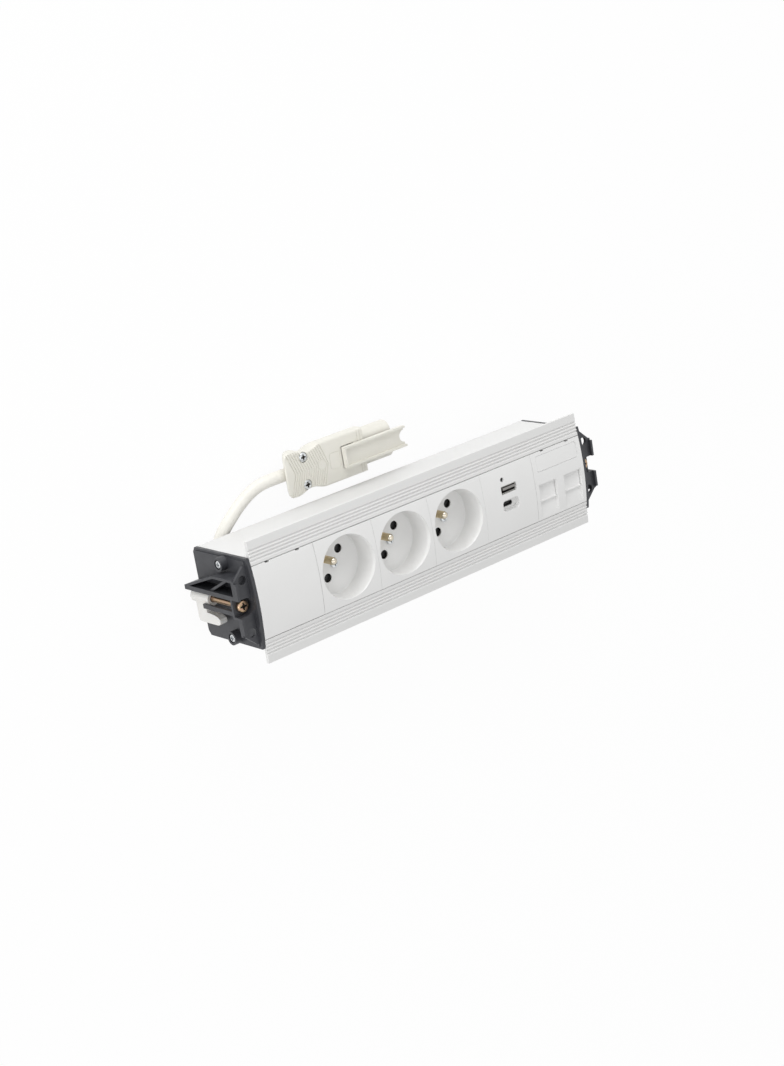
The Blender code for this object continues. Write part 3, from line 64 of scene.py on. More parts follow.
# Trough and its flanges
BACK_Z = 10.6 * MM
TROUGH_HALF = 28.0 * MM
FLANGE_HALF = 37.65 * MM
FLANGE_TOP = EDGE_Z - 1.0 * MM
FLANGE_BOTTOM = FLANGE_TOP - 2.0 * MM
OPENING_HALF = 22.95 * MM
TROUGH_WALL = 1.6 * MM
CORNER_WIDE = 2.6 * MM
CORNER_HIGH = 2.4 * MM
RIBS = 4
RIB_FIRST = 25.6 * MM
RIB_PITCH = 2.03 * MM
RIB_HALF = 0.8 * MM
RIB_DEEP = 0.8 * MM

# Hoods on the back
HOOD_X = 118.6 * MM
HOOD_WIDE = 26 * MM
HOOD_TOP = 10.3 * MM
HOOD_ROUND = 1.6 * MM
HOOD_CORNER = 2.4 * MM
CABLE_HOLE_Y = 21.9 * MM

# Brackets
CAP_INNER = ROW_HALF + CLEAR
CAP_OUTER = CAP_INNER + 2.0 * MM
REACH = 10.5 * MM
WEB_TOP = EDGE_Z - 2.6 * MM
WEB_BOTTOM = WEB_TOP - 2.0 * MM
SEAT_TOP = EDGE_Z - 7.8 * MM
SEAT_BOTTOM = SEAT_TOP - 1.7 * MM
CLAMP_X = -CAP_OUTER - 4.7 * MM
PORT_Y = 23.0 * MM
PORT_Z = EDGE_Z - 23.1 * MM
BOSS_REACH = 5.5 * MM
FIELD_MARGIN = 1.6 * MM
GUSSET_NEAR = 4.8 * MM
GUSSET_TOE = 7.6 * MM
GUSSET_FAR = 17.6 * MM
GUSSET_BOTTOM = EDGE_Z - 55.3 * MM
GUSSET_SHOULDER = EDGE_Z - 24.1 * MM
GUSSET_WALL = 1.5 * MM
GUSSET_INNER_WALL = 2.8 * MM
CLAW_LOW = 12.2 * MM
CLAW_LONG = 18 * MM

# Sockets
CUP_RADIUS = 19.3 * MM
CUP_WALL = 1.4 * MM
CUP_FLOOR = EDGE_Z - 14.3 * MM
CUP_BOTTOM = CUP_FLOOR - 2.0 * MM
PIN_ANGLE = math.radians(54.5)
PIN_HALF_SPREAD = 9.5 * MM
PIN_HOLE_RADIUS = 2.85 * MM
PIN_HOLE_BEHIND = 3.8 * MM
PIN_HOLE_RIM = 0.7 * MM
EARTH_OFFSET = 10.0 * MM
EARTH_RADIUS = 2.4 * MM
EARTH_HOLE_RADIUS = 2.7 * MM
EARTH_FOOT = 29.0 * MM
CENTRE_HOLE_RADIUS = 1.7 * MM

# Heads of the small screws: radius and height
SMALL_HEAD = (2.6 * MM, 1.8 * MM)

# Charging and data outlets
PORT_FLOOR = EDGE_Z - 13.5 * MM
WIDE_PORT_Y = 7.25 * MM
SMALL_PORT_Y = -3.25 * MM
SMALL_WELL_DEEP = 4.0 * MM
STATUS_X = -4.5 * MM
STATUS_Y = 14.2 * MM
SHUTTER_BED = 63.6 * MM
JACK_X = 11.4 * MM
WINDOW_HALF = 8.0 * MM
WINDOW = (-11.3 * MM, 1.3 * MM)
RAMP_END = -21.0 * MM
RAMP_FOOT = 64.5 * MM
LABEL_HALF = 18.6 * MM
LABEL_SPAN = (9.5 * MM, 20.0 * MM)
LABEL_GAP = 0.12 * MM

# Connector, lying flat on the floor
TAIL_X = -65.5 * MM
LEAD_Y = 49.0 * MM
SHELL_LONG = 64.0 * MM
SHELL_HALF = 14.25 * MM
SHELL_TOP = 16.0 * MM
SHELL_MIDDLE = 8.0 * MM
SHELL_FRONT = TAIL_X + SHELL_LONG
SHELL_JOINT_HALF = 0.15 * MM
TAIL_CORNER = 4.5 * MM
WAIST_AT = 19 * MM
WAIST_REACH = 11.5 * MM
SHELL_SCREWS = {"a": (TAIL_X + 15.7 * MM, LEAD_Y + 8.8 * MM),
                "b": (TAIL_X + 15.7 * MM, LEAD_Y - 8.8 * MM)}
CONTACTS = {"line": LEAD_Y - 7 * MM, "earth": LEAD_Y, "neutral": LEAD_Y + 7 * MM}
NOSE_START = SHELL_FRONT + CLEAR
NOSE_TIP = NOSE_START + 23 * MM
CORD_RADIUS = 4.0 * MM
RELIEF_Z = 4.9 * MM


def add_object(name, data):
    made = bpy.data.objects.new(name, data)
    bpy.context.collection.objects.link(made)
    return made


def place_camera():
    optics = bpy.data.cameras.new("studio_camera")
    optics.lens = 64.95
    optics.sensor_width = 36.0
    optics.clip_start = 0.05
    optics.clip_end = 30.0
    camera = add_object("studio_camera", optics)
    camera.location = (-0.714519, 0.352264, 0.946223)
    camera.rotation_mode = "QUATERNION"
    camera.rotation_quaternion = (0.928168, -0.113521, -0.331284, -0.125966)
    bpy.context.scene.camera = camera


# Materials


def linear(colour):
    """sRGB hex to the linear colour that shaders take."""
    levels = [int(colour[at:at + 2], 16) / 255 for at in (1, 3, 5)]
    return [v / 12.92 if v <= 0.04045 else ((v + 0.055) / 1.055) ** 2.4 for v in levels] + [1.0]


def add_node(tree, kind, settings=None, links=None):
    """Adds a node, sets its sockets or properties and links its inputs."""
    made = tree.nodes.new("ShaderNode" + kind)
    for key, value in (settings or {}).items():
        if isinstance(key, int) or key in made.inputs:
            made.inputs[key].default_value = value
        else:
            setattr(made, key, value)
    for key, source in (links or {}).items():
        tree.links.new(source, made.inputs[key])
    return made


def start_finish(name, colour, roughness, **values):
    """A Principled material, and its surface: tree, shader and object coordinates."""
    material = bpy.data.materials.new(name)
    material.use_nodes = True
    tree = material.node_tree
    shader = tree.nodes["Principled BSDF"]
    shader.inputs["Base Color"].default_value = linear(colour)
    shader.inputs["Roughness"].default_value = roughness
    for socket, value in values.items():
        shader.inputs[socket.replace("_", " ")].default_value = value
    place = add_node(tree, "TexCoord").outputs["Object"]
    return material, (tree, shader, place)


def noise(surface, size, detail):
    """Cloudy noise, its features about as wide as size."""
    tree, _, place = surface
    return add_node(tree, "TexNoise", {"Scale": 1 / size, "Detail": detail},
                    {"Vector": place}).outputs[0]


def rough_skin(surface, size, height, strength, detail=2.0):
    """Fine relief of a moulded or coated skin; size is that of its bumps."""
    tree, shader, _ = surface
    bump = add_node(tree, "Bump", {"Strength": strength, "Distance": height},
                    {"Height": noise(surface, size, detail)})
    tree.links.new(bump.outputs["Normal"], shader.inputs["Normal"])


def patchy_gloss(surface, size, low, high):
    """Roughness that drifts between two values, as on handled or moulded skins."""
    tree, shader, _ = surface
    spread = add_node(tree, "MapRange",
                      {"From Min": 0.3, "From Max": 0.7, "To Min": low, "To Max": high},
                      {"Value": noise(surface, size, 3.0)})
    tree.links.new(spread.outputs["Result"], shader.inputs["Roughness"])


def drifting_tint(surface, size, stops, detail=2.0):
    """Base colour that drifts through the stops, each a share and a hex colour."""
    tree, shader, _ = surface
    ramp = add_node(tree, "ValToRGB", links={"Fac": noise(surface, size, detail)})
    band = ramp.color_ramp
    while len(band.elements) < len(stops):
        band.elements.new(0.5)
    for mark, (share, colour) in zip(band.elements, stops):
        mark.position = share
        mark.color = linear(colour)
    tree.links.new(ramp.outputs["Color"], shader.inputs["Base Color"])


def make_finish(name, colour, roughness, skin=(), gloss=(), tint=(), **values):
    """A material; skin, gloss and tint hold what the three functions above take."""
    made, surface = start_finish(name, colour, roughness, **values)
    for touch, given in ((rough_skin, skin), (patchy_gloss, gloss), (drifting_tint, tint)):
        if given:
            touch(surface, *given)
    return made


FINISH = {
    # Outlet fronts: injection moulded, lightly sparked tool, so a satin sheen
    # with a soft edge; grain drawn at 0.7 mm, coarser than the real 0.1 mm
    "white_plate_plastic": make_finish(
        "moulded_polycarbonate", "#E5E5E4", 0.36, IOR=1.585,
        skin=(0.7 * MM, 0.02 * MM, 0.15), gloss=(9 * MM, 0.32, 0.40),
        tint=(30 * MM, [(0.3, "#E4E4E3"), (0.7, "#E7E7E6")])),
    # Extruded trough: polyester powder coat, which flows to a faint orange peel
    "white_coated_aluminium": make_finish(
        "powder_coated_aluminium", "#DFDFDE", 0.42, IOR=1.5,
        skin=(1.6 * MM, 0.02 * MM, 0.10, 1.0), gloss=(14 * MM, 0.38, 0.47),
        tint=(45 * MM, [(0.3, "#DEDEDD"), (0.7, "#E0E0DF")])),
    # Brackets and hoods: black, with a fine dull grain and a few paler drifts
    # where the glass fibre lies near the skin
    "black_glass_nylon": make_finish(
        "glass_filled_nylon", "#37383C", 0.42, IOR=1.53, Specular_IOR_Level=0.4,
        skin=(0.6 * MM, 0.04 * MM, 0.35, 3.0), gloss=(6 * MM, 0.36, 0.50),
        tint=(5 * MM, [(0.3, "#343539"), (0.75, "#3B3C40")])),
    # Claws: unfilled, a little waxy, so light goes a short way into it
    "white_nylon": make_finish(
        "natural_nylon", "#DEDDDA", 0.40, IOR=1.53, Subsurface_Weight=0.08,
        Subsurface_Radius=(1.2 * MM, 1.0 * MM, 0.8 * MM), Subsurface_Scale=1.0,
        skin=(1.2 * MM, 0.03 * MM, 0.2), gloss=(5 * MM, 0.34, 0.46)),
    # Clamp screws and nuts: zinc with a yellow chromate, which drifts from
    # copper to green gold as its thickness changes
    "yellow_zinc_steel": make_finish(
        "yellow_chromate_zinc", "#BA9985", 0.28, Metallic=1.0,
        skin=(0.5 * MM, 0.02 * MM, 0.3),
        tint=(1.6 * MM, [(0.30, "#BC9986"), (0.47, "#B89C80"), (0.55, "#A6966E"),
                         (0.63, "#BC9785")], 1.5)),
    # Small screws: blue passivated zinc, cold and slightly brushed by the die
    "bright_zinc_steel": make_finish(
        "bright_zinc", "#D6D9DA", 0.17, Metallic=1.0, skin=(0.5 * MM, 0.02 * MM, 0.25),
        tint=(1.5 * MM, [(0.35, "#D0D4D6"), (0.65, "#DDDFE0")])),
    # Earth and connector pins: drawn brass under thin nickel, so a warm dull gold
    "nickel_brass": make_finish(
        "drawn_brass", "#DAC8A2", 0.34, Metallic=1.0, gloss=(2 * MM, 0.30, 0.42),
        tint=(2.5 * MM, [(0.35, "#D5C29A"), (0.65, "#DFCEAB")])),
    # Inner mouldings: plain grey, seen only through the openings
    "grey_inner_plastic": make_finish(
        "grey_polyester", "#8B8986", 0.50, IOR=1.55, skin=(0.9 * MM, 0.03 * MM, 0.2),
        tint=(8 * MM, [(0.3, "#868481"), (0.7, "#908E8B")])),
    # Port inserts and shutters behind the pin holes: deep black, hardly glossy
    "black_port_plastic": make_finish(
        "black_port_polymer", "#161617", 0.45, IOR=1.55, skin=(0.9 * MM, 0.02 * MM, 0.2),
        gloss=(4 * MM, 0.40, 0.52)),
    # Label cover: clear sheet over a white card, so white under a glossy skin
    "clear_window_plastic": make_finish(
        "clear_pane_on_card", "#E5E5E4", 0.16, IOR=1.58, Coat_Weight=0.5, Coat_Roughness=0.05,
        tint=(20 * MM, [(0.3, "#E4E4E3"), (0.7, "#E6E6E5")])),
    # Connector: off-white, satin, a touch warmer than the module
    "cream_connector_plastic": make_finish(
        "moulded_abs", "#E1DFD6", 0.40, IOR=1.53, skin=(0.9 * MM, 0.03 * MM, 0.25),
        gloss=(8 * MM, 0.36, 0.46), tint=(18 * MM, [(0.3, "#DFDDD4"), (0.7, "#E3E1D9")])),
    # Cord jacket: extruded, soft, with a dull sheen and faint run marks
    "cream_cord_jacket": make_finish(
        "extruded_vinyl", "#E4E2DB", 0.46, IOR=1.52, skin=(1.1 * MM, 0.05 * MM, 0.25),
        gloss=(7 * MM, 0.42, 0.54), tint=(12 * MM, [(0.3, "#E2E0D9"), (0.7, "#E6E4DD")])),
}
# Tips of the earth pins: turned and polished, a hard bright reflection
NICKEL = make_finish("polished_nickel", "#C9C1B1", 0.13, Metallic=1.0, gloss=(2 * MM, 0.11, 0.19))
# Cross recess of the larger screws: painted shade, a dark grey metal that stands in
# for the shade and dark reflections deep in the recess, so it reads as a dark cross in a bright
# head
RECESS_PAINTED_SHADE = make_finish("painted_shade_in_recess", "#5A554E", 0.42, Metallic=0.85, gloss=(1 * MM, 0.36, 0.5))
# Frame of the wide port: tin plated steel, dull grey with a broken reflection
PORT_FRAME = make_finish("tin_plated_steel", "#A9A8A4", 0.32, Metallic=1.0,
                         gloss=(2 * MM, 0.26, 0.40))


# Shapes


def loft(*rings):
    """One closed body through rings of equal count, capped at both ends."""
    data = bmesh.new()
    loops = [[data.verts.new(point) for point in ring] for ring in rings]
    for low, high in zip(loops, loops[1:]):
        for index in range(len(low)):
            after = (index + 1) % len(low)
            data.faces.new((low[index], low[after], high[after], high[index]))
    data.faces.new(loops[0])
    data.faces.new(loops[-1])
    bmesh.ops.recalc_face_normals(data, faces=data.faces)
    return data


def on_axis(axis, across, up, along):
    return {"X": (along, across, up), "Y": (across, along, up), "Z": (across, up, along)}[axis]


def prism(outline, axis, low, high):
    """An outline pushed from low to high: (y, z) along X, (x, z) along Y, (x, y) along Z."""
    return loft(*[[on_axis(axis, a, b, end) for a, b in outline] for end in (low, high)])


def box(x, y, z):
    return prism([(x[0], y[0]), (x[1], y[0]), (x[1], y[1]), (x[0], y[1])], "Z", z[0], z[1])


def around(middle, half):
    """Span that reaches half to either side of its middle."""
    return middle - half, middle + half


def circle(centre, radius, count=48):
    turns = [2 * math.pi * (step + 0.5) / count for step in range(count)]
    return [(centre[0] + radius * math.cos(t), centre[1] + radius * math.sin(t)) for t in turns]


def rod(centre, radius, axis, low, high, count=48):
    return prism(circle(centre, radius, count), axis, low, high)


def turned(centre, profile, count=48, axis="Z"):
    """A solid of revolution; profile is (radius, place along the axis)."""
    return loft(*[[on_axis(axis, a, b, at) for a, b in circle(centre, radius, count)]
                  for radius, at in profile])


def rounded(centre, wide, high, radius, steps=8):
    """Rectangle with round corners, as (a, b) points."""
    points = []
    for corner, (side, top) in enumerate(((1, 1), (-1, 1), (-1, -1), (1, -1))):
        a = centre[0] + side * (wide / 2 - radius)
        b = centre[1] + top * (high / 2 - radius)
        for step in range(steps + 1):
            turn = math.pi / 2 * (corner + step / steps)
            points.append((a + radius * math.cos(turn), b + radius * math.sin(turn)))
    return points


def quarter_round(steps):
    """Distances of a quarter circle from its two tangents, in shares of its radius."""
    turns = [math.pi / 2 * step / steps for step in range(steps + 1)]
    return [(1 - math.sin(turn), 1 - math.cos(turn)) for turn in turns]


def rounded_block(centre, size, low, high, steps=8):
    """Upright block; size is its width, its depth and its corner radius in millimetres."""
    wide, deep, corner = (value * MM for value in size)
    return prism(rounded(centre, wide, deep, corner, steps), "Z", low, high)


def solid(name, shape):
    bmesh.ops.recalc_face_normals(shape, faces=shape.faces)
    mesh = bpy.data.meshes.new(name)
    shape.to_mesh(mesh)
    shape.free()
    return add_object(name, mesh)


def bake(part):
    """Turns the part's modifiers into its mesh."""
    graph = bpy.context.evaluated_depsgraph_get()
    mesh = bpy.data.meshes.new_from_object(part.evaluated_get(graph))
    part.modifiers.clear()
    spent = part.data
    part.data = mesh
    bpy.data.meshes.remove(spent)


def weld_and_cut(part, steps):
    """Works through (sign, shape) pairs: + joins a shape to the part, - cuts it out."""
    tools = []
    for sign, shape in steps:
        tool = solid("tool", shape)
        work = part.modifiers.new("work", "BOOLEAN")
        work.operation = "UNION" if sign == "+" else "DIFFERENCE"
        work.solver = "EXACT"
        work.object = tool
        tools.append(tool)
    bake(part)
    for tool in tools:
        bpy.data.objects.remove(tool)


WELD_WITHIN = 0.004 * MM
FLAT_WITHIN = math.radians(0.1)
ROUND_FROM = math.radians(28)
SHARP_FROM = math.radians(35)


def soften(part, edge):
    """Merges flat facets, then rounds every edge that turns by more than ROUND_FROM."""
    data = bmesh.new()
    data.from_mesh(part.data)
    bmesh.ops.remove_doubles(data, verts=data.verts, dist=WELD_WITHIN)
    bmesh.ops.dissolve_limit(data, angle_limit=FLAT_WITHIN, verts=data.verts, edges=data.edges)
    data.to_mesh(part.data)
    data.free()
    part.data.shade_smooth()
    if not edge:
        part.data.set_sharp_from_angle(angle=SHARP_FROM)
        return
    round_off = part.modifiers.new("round_off", "BEVEL")
    round_off.width = edge
    round_off.segments = 2
    round_off.limit_method = "ANGLE"
    round_off.angle_limit = ROUND_FROM
    round_off.harden_normals = True
    bake(part)


def make(name, shape, slot, nodes, body="root", steps=(), edge=0.25 * MM, turn=0.0):
    """A finished piece that stands for CAD nodes and moves with a body."""
    part = solid(name, shape)
    if steps:
        weld_and_cut(part, steps)
    soften(part, edge)
    if turn:
        part.data.transform(Matrix.Rotation(turn, 4, "Z"))
    part.data.materials.clear()
    part.data.materials.append(FINISH[slot])
    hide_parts(*nodes)
    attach(part, body)
    return part


def crown_height(y):
    return EDGE_Z + CROWN * (1 - (y / PLATE_HALF) ** 2)


def crown_line(low, high, drop=0.0, steps=28):
    ys = [low + (high - low) * step / steps for step in range(steps + 1)]
    return [(y, crown_height(y) - drop) for y in ys]


def centre_of(index):
    return -ROW_HALF + (index + 0.5) * MODULE


# Trough


def flange_line():
    """Half of the trough's outer outline in (y, z), with its round-bottomed grooves."""
    line = [(OPENING_HALF, EDGE_Z)]
    fall = (EDGE_Z - FLANGE_TOP) / (FLANGE_HALF - OPENING_HALF)
    for rib in range(RIBS):
        middle = RIB_FIRST + rib * RIB_PITCH
        for step in range(9):
            share = step / 8 * 2 - 1
            y = middle + share * RIB_HALF
            dip = RIB_DEEP * 0.5 * (1 + math.cos(math.pi * share))
            line.append((y, EDGE_Z - fall * (y - OPENING_HALF) - dip))
    line += [(FLANGE_HALF, FLANGE_TOP), (FLANGE_HALF, FLANGE_BOTTOM), (TROUGH_HALF, FLANGE_BOTTOM)]
    return line + [(TROUGH_HALF - CORNER_WIDE * draw, BACK_Z + CORNER_HIGH * rise)
                   for rise, draw in quarter_round(6)]


def build_trough():
    """Extrusion with a rail for the bracket screws in each side wall."""
    outer = flange_line()
    wall = TROUGH_HALF - TROUGH_WALL
    under = EDGE_Z - PLATE_THICK
    slot = 1.7 * MM
    rail = 3.4 * MM
    slot_end = PORT_Y + slot
    mouth = slot_end - 4.0 * MM
    inner = [(TROUGH_HALF - 3.0 * MM, BACK_Z + 2.0 * MM), (wall, BACK_Z + 3.0 * MM)]
    inner += [(wall, PORT_Z - rail), (mouth, PORT_Z - rail), (mouth, PORT_Z - slot)]
    inner += [(slot_end, PORT_Z - slot), (slot_end, PORT_Z + slot), (mouth, PORT_Z + slot)]
    inner += [(mouth, PORT_Z + rail), (wall, PORT_Z + rail), (wall, under), (OPENING_HALF, under)]
    other_half = [(-y, z) for y, z in reversed(outer)] + [(-y, z) for y, z in reversed(inner)]
    holes = [("-", rod((side * -HOOD_X, side * -CABLE_HOLE_Y), 3.0 * MM, "Z",
                       BACK_Z - OVER, BACK_Z + 2.5 * MM)) for side in (1, -1)]
    make("trough", prism(outer + other_half + inner, "X", -ROW_HALF, ROW_HALF),
         "white_coated_aluminium", ["housing_profile"], steps=holes, edge=0.22 * MM)


# Outlets


def plate_slab(index):
    """Crowned front of one outlet, its long edges a little rolled."""
    low = -ROW_HALF + index * MODULE + PLATE_JOINT / 2
    outline = crown_line(-PLATE_HALF, PLATE_HALF)
    outline += [(PLATE_HALF, EDGE_Z - PLATE_THICK), (-PLATE_HALF, EDGE_Z - PLATE_THICK)]
    return prism(outline, "X", low, low + MODULE - PLATE_JOINT)


def latch_notches(index):
    """Two small release notches in the long edge of a plate."""
    deep = (PLATE_HALF - 0.9 * MM, PLATE_HALF + OVER)
    high = (EDGE_Z - PLATE_THICK - OVER, EDGE_Z + CROWN)
    places = [centre_of(index) + side * 11.25 * MM for side in (1, -1)]
    return [("-", box(around(x, 1.5 * MM), deep, high)) for x in places]


def build_blank():
    make("blank_front", plate_slab(0), "white_plate_plastic", ["blank_plate"],
         steps=latch_notches(0))


def pin_place(middle, along, across=0.0):
    """A place in a socket, measured along the line of its two pin holes and across it."""
    a = math.cos(PIN_ANGLE)
    b = math.sin(PIN_ANGLE)
    return (middle + along * a - across * b, along * b + across * a)


def build_socket(number):
    """Crowned plate with a deep cup, its earth pin, screw and pin holes."""
    middle = centre_of(number)
    centre = (middle, 0.0)
    prefix = "socket_%d_" % number
    cup = [(18.5, 0.0), (18.85, 0.08), (19.1, 0.3), (19.25, 0.7), (19.3, 1.3), (19.42, 13.4),
           (19.52, 13.9), (19.72, 14.4), (20.02, 15.0), (20.2, 15.9), (20.2, 18.0)]
    cup = [(radius * MM, CUP_FLOOR + rise * MM) for radius, rise in cup]
    earth = pin_place(middle, 0, EARTH_OFFSET)
    through = (CUP_BOTTOM - OVER, CUP_FLOOR + OVER)
    steps = [("+", rod(centre, CUP_RADIUS + CUP_WALL, "Z", CUP_BOTTOM, BOSS_TOP, 96)),
             ("-", turned(centre, cup, 96))]
    for side in (1, -1):
        hole = pin_place(middle, side * PIN_HALF_SPREAD)
        steps += [("-", rod(hole, PIN_HOLE_RADIUS, "Z", *through, 40)),
                  ("-", rod(hole, PIN_HOLE_BEHIND, "Z", through[0], CUP_FLOOR - PIN_HOLE_RIM, 40))]
    steps += [("-", rod(earth, EARTH_HOLE_RADIUS, "Z", *through, 40)),
              ("-", rod(centre, CENTRE_HOLE_RADIUS, "Z", *through, 24))]
    make(prefix + "plate", plate_slab(number), "white_plate_plastic", [prefix + "front"],
         steps=steps)
    build_earth_pin(prefix, earth)
    build_screw(prefix + "centre_screw", centre, "Z", CUP_FLOOR + CLEAR, 1, *SMALL_HEAD,
                [prefix + "screw"])


def build_earth_pin(prefix, place):
    """Round pin: drawn shank, polished dome."""
    top = EDGE_Z - 0.2 * MM
    profile = [(EARTH_RADIUS, EARTH_FOOT), (EARTH_RADIUS, top - EARTH_RADIUS - CLEAR)]
    for step in range(9):
        turn = math.radians(85) * step / 8
        profile.append((EARTH_RADIUS * math.cos(turn), top - EARTH_RADIUS * (1 - math.sin(turn))))
    pin = make(prefix + "pin", turned(place, profile, 40), "nickel_brass", [prefix + "earth_pin"],
               edge=0)
    pin.data.materials.append(NICKEL)
    for face in pin.data.polygons:
        if face.center.z > top - EARTH_RADIUS * 0.6:
            face.material_index = 1


def cross_shape(centre, arm, thin, axis, low, high):
    """A plus sign as a block, to cut a driver's recess."""
    quarter = [(-arm, -thin), (-thin, -thin), (-thin, -arm)]
    plus = []
    for _ in range(4):
        plus += [(centre[0] + a, centre[1] + b) for a, b in quarter]
        quarter = [(-b, a) for a, b in quarter]
    return prism(plus, axis, low, high)


def paint_shade_into_recess(piece, along, way, radius, high):
    """Gives the cross recess of a screw head a darker metal: painted shade."""
    mesh = piece.data
    sides = [[vertex.co[axis] for vertex in mesh.vertices] for axis in range(3)]
    tip = max(way * value for value in sides[along])
    across = [axis for axis in range(3) if axis != along]
    middle = [(min(sides[axis]) + max(sides[axis])) / 2 for axis in across]
    mesh.materials.append(RECESS_PAINTED_SHADE)
    for face in mesh.polygons:
        depth = tip - way * face.center[along]
        off = math.hypot(*(face.center[axis] - half for axis, half in zip(across, middle)))
        # Faces deep in the recess and near the axis take the painted shade
        if 0.1 * MM < depth < 0.97 * high and off < 0.64 * radius:
            face.material_index = len(mesh.materials) - 1


def build_screw(name, centre, axis, seat, way, radius, high, nodes, slot="bright_zinc_steel",
                shank=1.4 * MM, long=10.0 * MM, body="root", turn=0.0, shade_the_recess=False):
    """Domed cross-head screw; way is +1 or -1 along its axis, from its seat. Its
    recess keeps the head's finish unless painted shade is asked for: then a darker metal."""
    tip = seat + way * high
    profile = [(shank, seat - way * long), (shank, seat), (radius - 0.1 * MM, seat)]
    profile += [(radius - 0.9 * MM * draw, tip - way * 0.75 * MM * drop)
                for drop, draw in quarter_round(6)[:-1]]
    profile.append((radius - 1.3 * MM, tip))
    reach = sorted((tip - way * high * 0.8, tip + way * OVER))
    steps = [("-", cross_shape(centre, radius * 0.62, radius * 0.15, axis, *reach)),
             ("-", turned(centre, [(radius * 0.16, tip - way * high * 0.95),
                                   (radius * 0.38, tip + way * OVER / 4)], 24, axis))]
    piece = make(name, turned(centre, profile, 40, axis), slot, nodes, body, steps, 0.08 * MM,
                 turn)
    # Painted shade: the recess faces take a darker metal
    if shade_the_recess:
        paint_shade_into_recess(piece, "XYZ".index(axis), way, radius, high)
    return piece


def build_charger():
    """Charging outlet: a wide and a small port, and a tiny status hole."""
    index = 4
    middle = centre_of(index)
    wide_port = (middle, WIDE_PORT_Y)
    small_port = (middle, SMALL_PORT_Y)
    status = (middle + STATUS_X, STATUS_Y)
    below = PORT_FLOOR - OVER
    above = EDGE_Z + 2 * CROWN
    well_floor = crown_height(SMALL_PORT_Y) - SMALL_WELL_DEEP
    block = box(around(middle, 9 * MM), (-9 * MM, 12 * MM), (PORT_FLOOR, BOSS_TOP))
    cuts = [rounded_block(wide_port, (13.6, 5.5, 0.5), below, above, 4),
            rounded_block(small_port, (14.0, 7.5, 2.5), well_floor, above),
            rounded_block(small_port, (8.9, 3.2, 1.5), below, above),
            rod(status, 1.5 * MM, "Z", EDGE_Z - 4 * MM, above, 32)]
    make("charger_front", plate_slab(index), "white_plate_plastic", ["usb_plate"],
         steps=[("+", block)] + [("-", cut) for cut in cuts])
    ring = rounded_block(wide_port, (13.0, 4.9, 0.5), PORT_FLOOR, EDGE_Z + CLEAR, 4)
    hole = rounded_block(wide_port, (12.0, 3.9, 0.3), below, above, 4)
    ring = make("wide_port_frame", ring, "bright_zinc_steel", ["usb_a_shell"],
                steps=[("-", hole)], edge=0.1 * MM)
    ring.data.materials[0] = PORT_FRAME
    tongue = rounded_block((middle + 0.4 * MM, WIDE_PORT_Y + 0.5 * MM), (10.4, 1.6, 0.3),
                           PORT_FLOOR, EDGE_Z + 0.9 * MM, 4)
    make("wide_port_tongue", tongue, "grey_inner_plastic", ["usb_a_tongue"], edge=0.15 * MM)
    small = rounded_block(small_port, (8.3, 2.6, 1.25), PORT_FLOOR, well_floor - CLEAR)
    bore = rounded_block(small_port, (7.6, 1.9, 0.9), PORT_FLOOR + 1.4 * MM, well_floor)
    blade = box(around(middle, 3 * MM), around(SMALL_PORT_Y, 0.35 * MM),
                (PORT_FLOOR + MM, well_floor - 1.2 * MM))
    lens = rod(status, 1.4 * MM, "Z", EDGE_Z - 3.9 * MM, EDGE_Z - 0.4 * MM, 32)
    make("small_port_frame", small, "black_port_plastic", ["usb_c_shell"],
         steps=[("-", bore), ("+", blade), ("+", lens)], edge=0.08 * MM)


def crowned_pad(x, y, low_drop, high_drop, corner):
    """A pad that follows the crown, with round corners; drops are from the crown."""
    near = 0.03 * MM
    line = crown_line(y[0], y[1], 0.0, 12)
    top = [(a, z - high_drop) for a, z in line]
    bottom = [(a, z - low_drop) for a, z in line]
    pad = prism(top + bottom[::-1], "X", x[0], x[1])
    corners = []
    for edge in pad.edges:
        ends = [vertex.co for vertex in edge.verts]
        on_side = all(min(abs(point.y - y[0]), abs(point.y - y[1])) < near for point in ends)
        if on_side and abs(ends[0].z - ends[1].z) > near:
            corners.append(edge)
    bmesh.ops.bevel(pad, geom=corners, offset=corner, segments=8, affect="EDGES", profile=0.5)
    return pad


def build_data_outlet():
    """Data outlet: label pane over two jacks behind sliding dust shutters."""
    index = 5
    middle = centre_of(index)
    above = 68 * MM
    start, end = WINDOW[0] + OVER, RAMP_END - MM
    rise = (crown_height(RAMP_END) - RAMP_FOOT) / (WINDOW[0] - RAMP_END)
    ramp = [(start, RAMP_FOOT - rise * OVER), (start, above),
            (end, above), (end, crown_height(RAMP_END) + rise * MM)]
    steps = latch_notches(index)
    steps.append(("+", box(around(middle, 20.3 * MM), (-13.1 * MM, 13.4 * MM),
                           (61.8 * MM, 65.2 * MM))))
    for side, label in ((-1, "left"), (1, "right")):
        x = middle + side * JACK_X
        wide = around(x, WINDOW_HALF)
        steps += [("-", prism(ramp, "X", *wide)),
                  ("-", box(wide, WINDOW, (SHUTTER_BED, above))),
                  ("-", box(wide, (0.8 * MM, 11.6 * MM), (SHUTTER_BED, 65.4 * MM))),
                  ("-", box(around(x, 6 * MM), (-9.9 * MM, -1.7 * MM),
                            (61 * MM, SHUTTER_BED + OVER)))]
        build_dust_shutter(label, x)
    steps.append(("-", crowned_pad(around(middle, LABEL_HALF), LABEL_SPAN, 1.1 * MM, -CROWN,
                                   2.5 * MM)))
    make("data_front", plate_slab(index), "white_plate_plastic", ["data_plate"], steps=steps,
         edge=0.2 * MM)
    pane = crowned_pad(around(middle, LABEL_HALF - LABEL_GAP),
                       (LABEL_SPAN[0] + LABEL_GAP, LABEL_SPAN[1] - LABEL_GAP),
                       0.8 * MM, LABEL_GAP, 2.4 * MM)
    make("label_pane", pane, "clear_window_plastic", ["label_window"], edge=0.12 * MM)


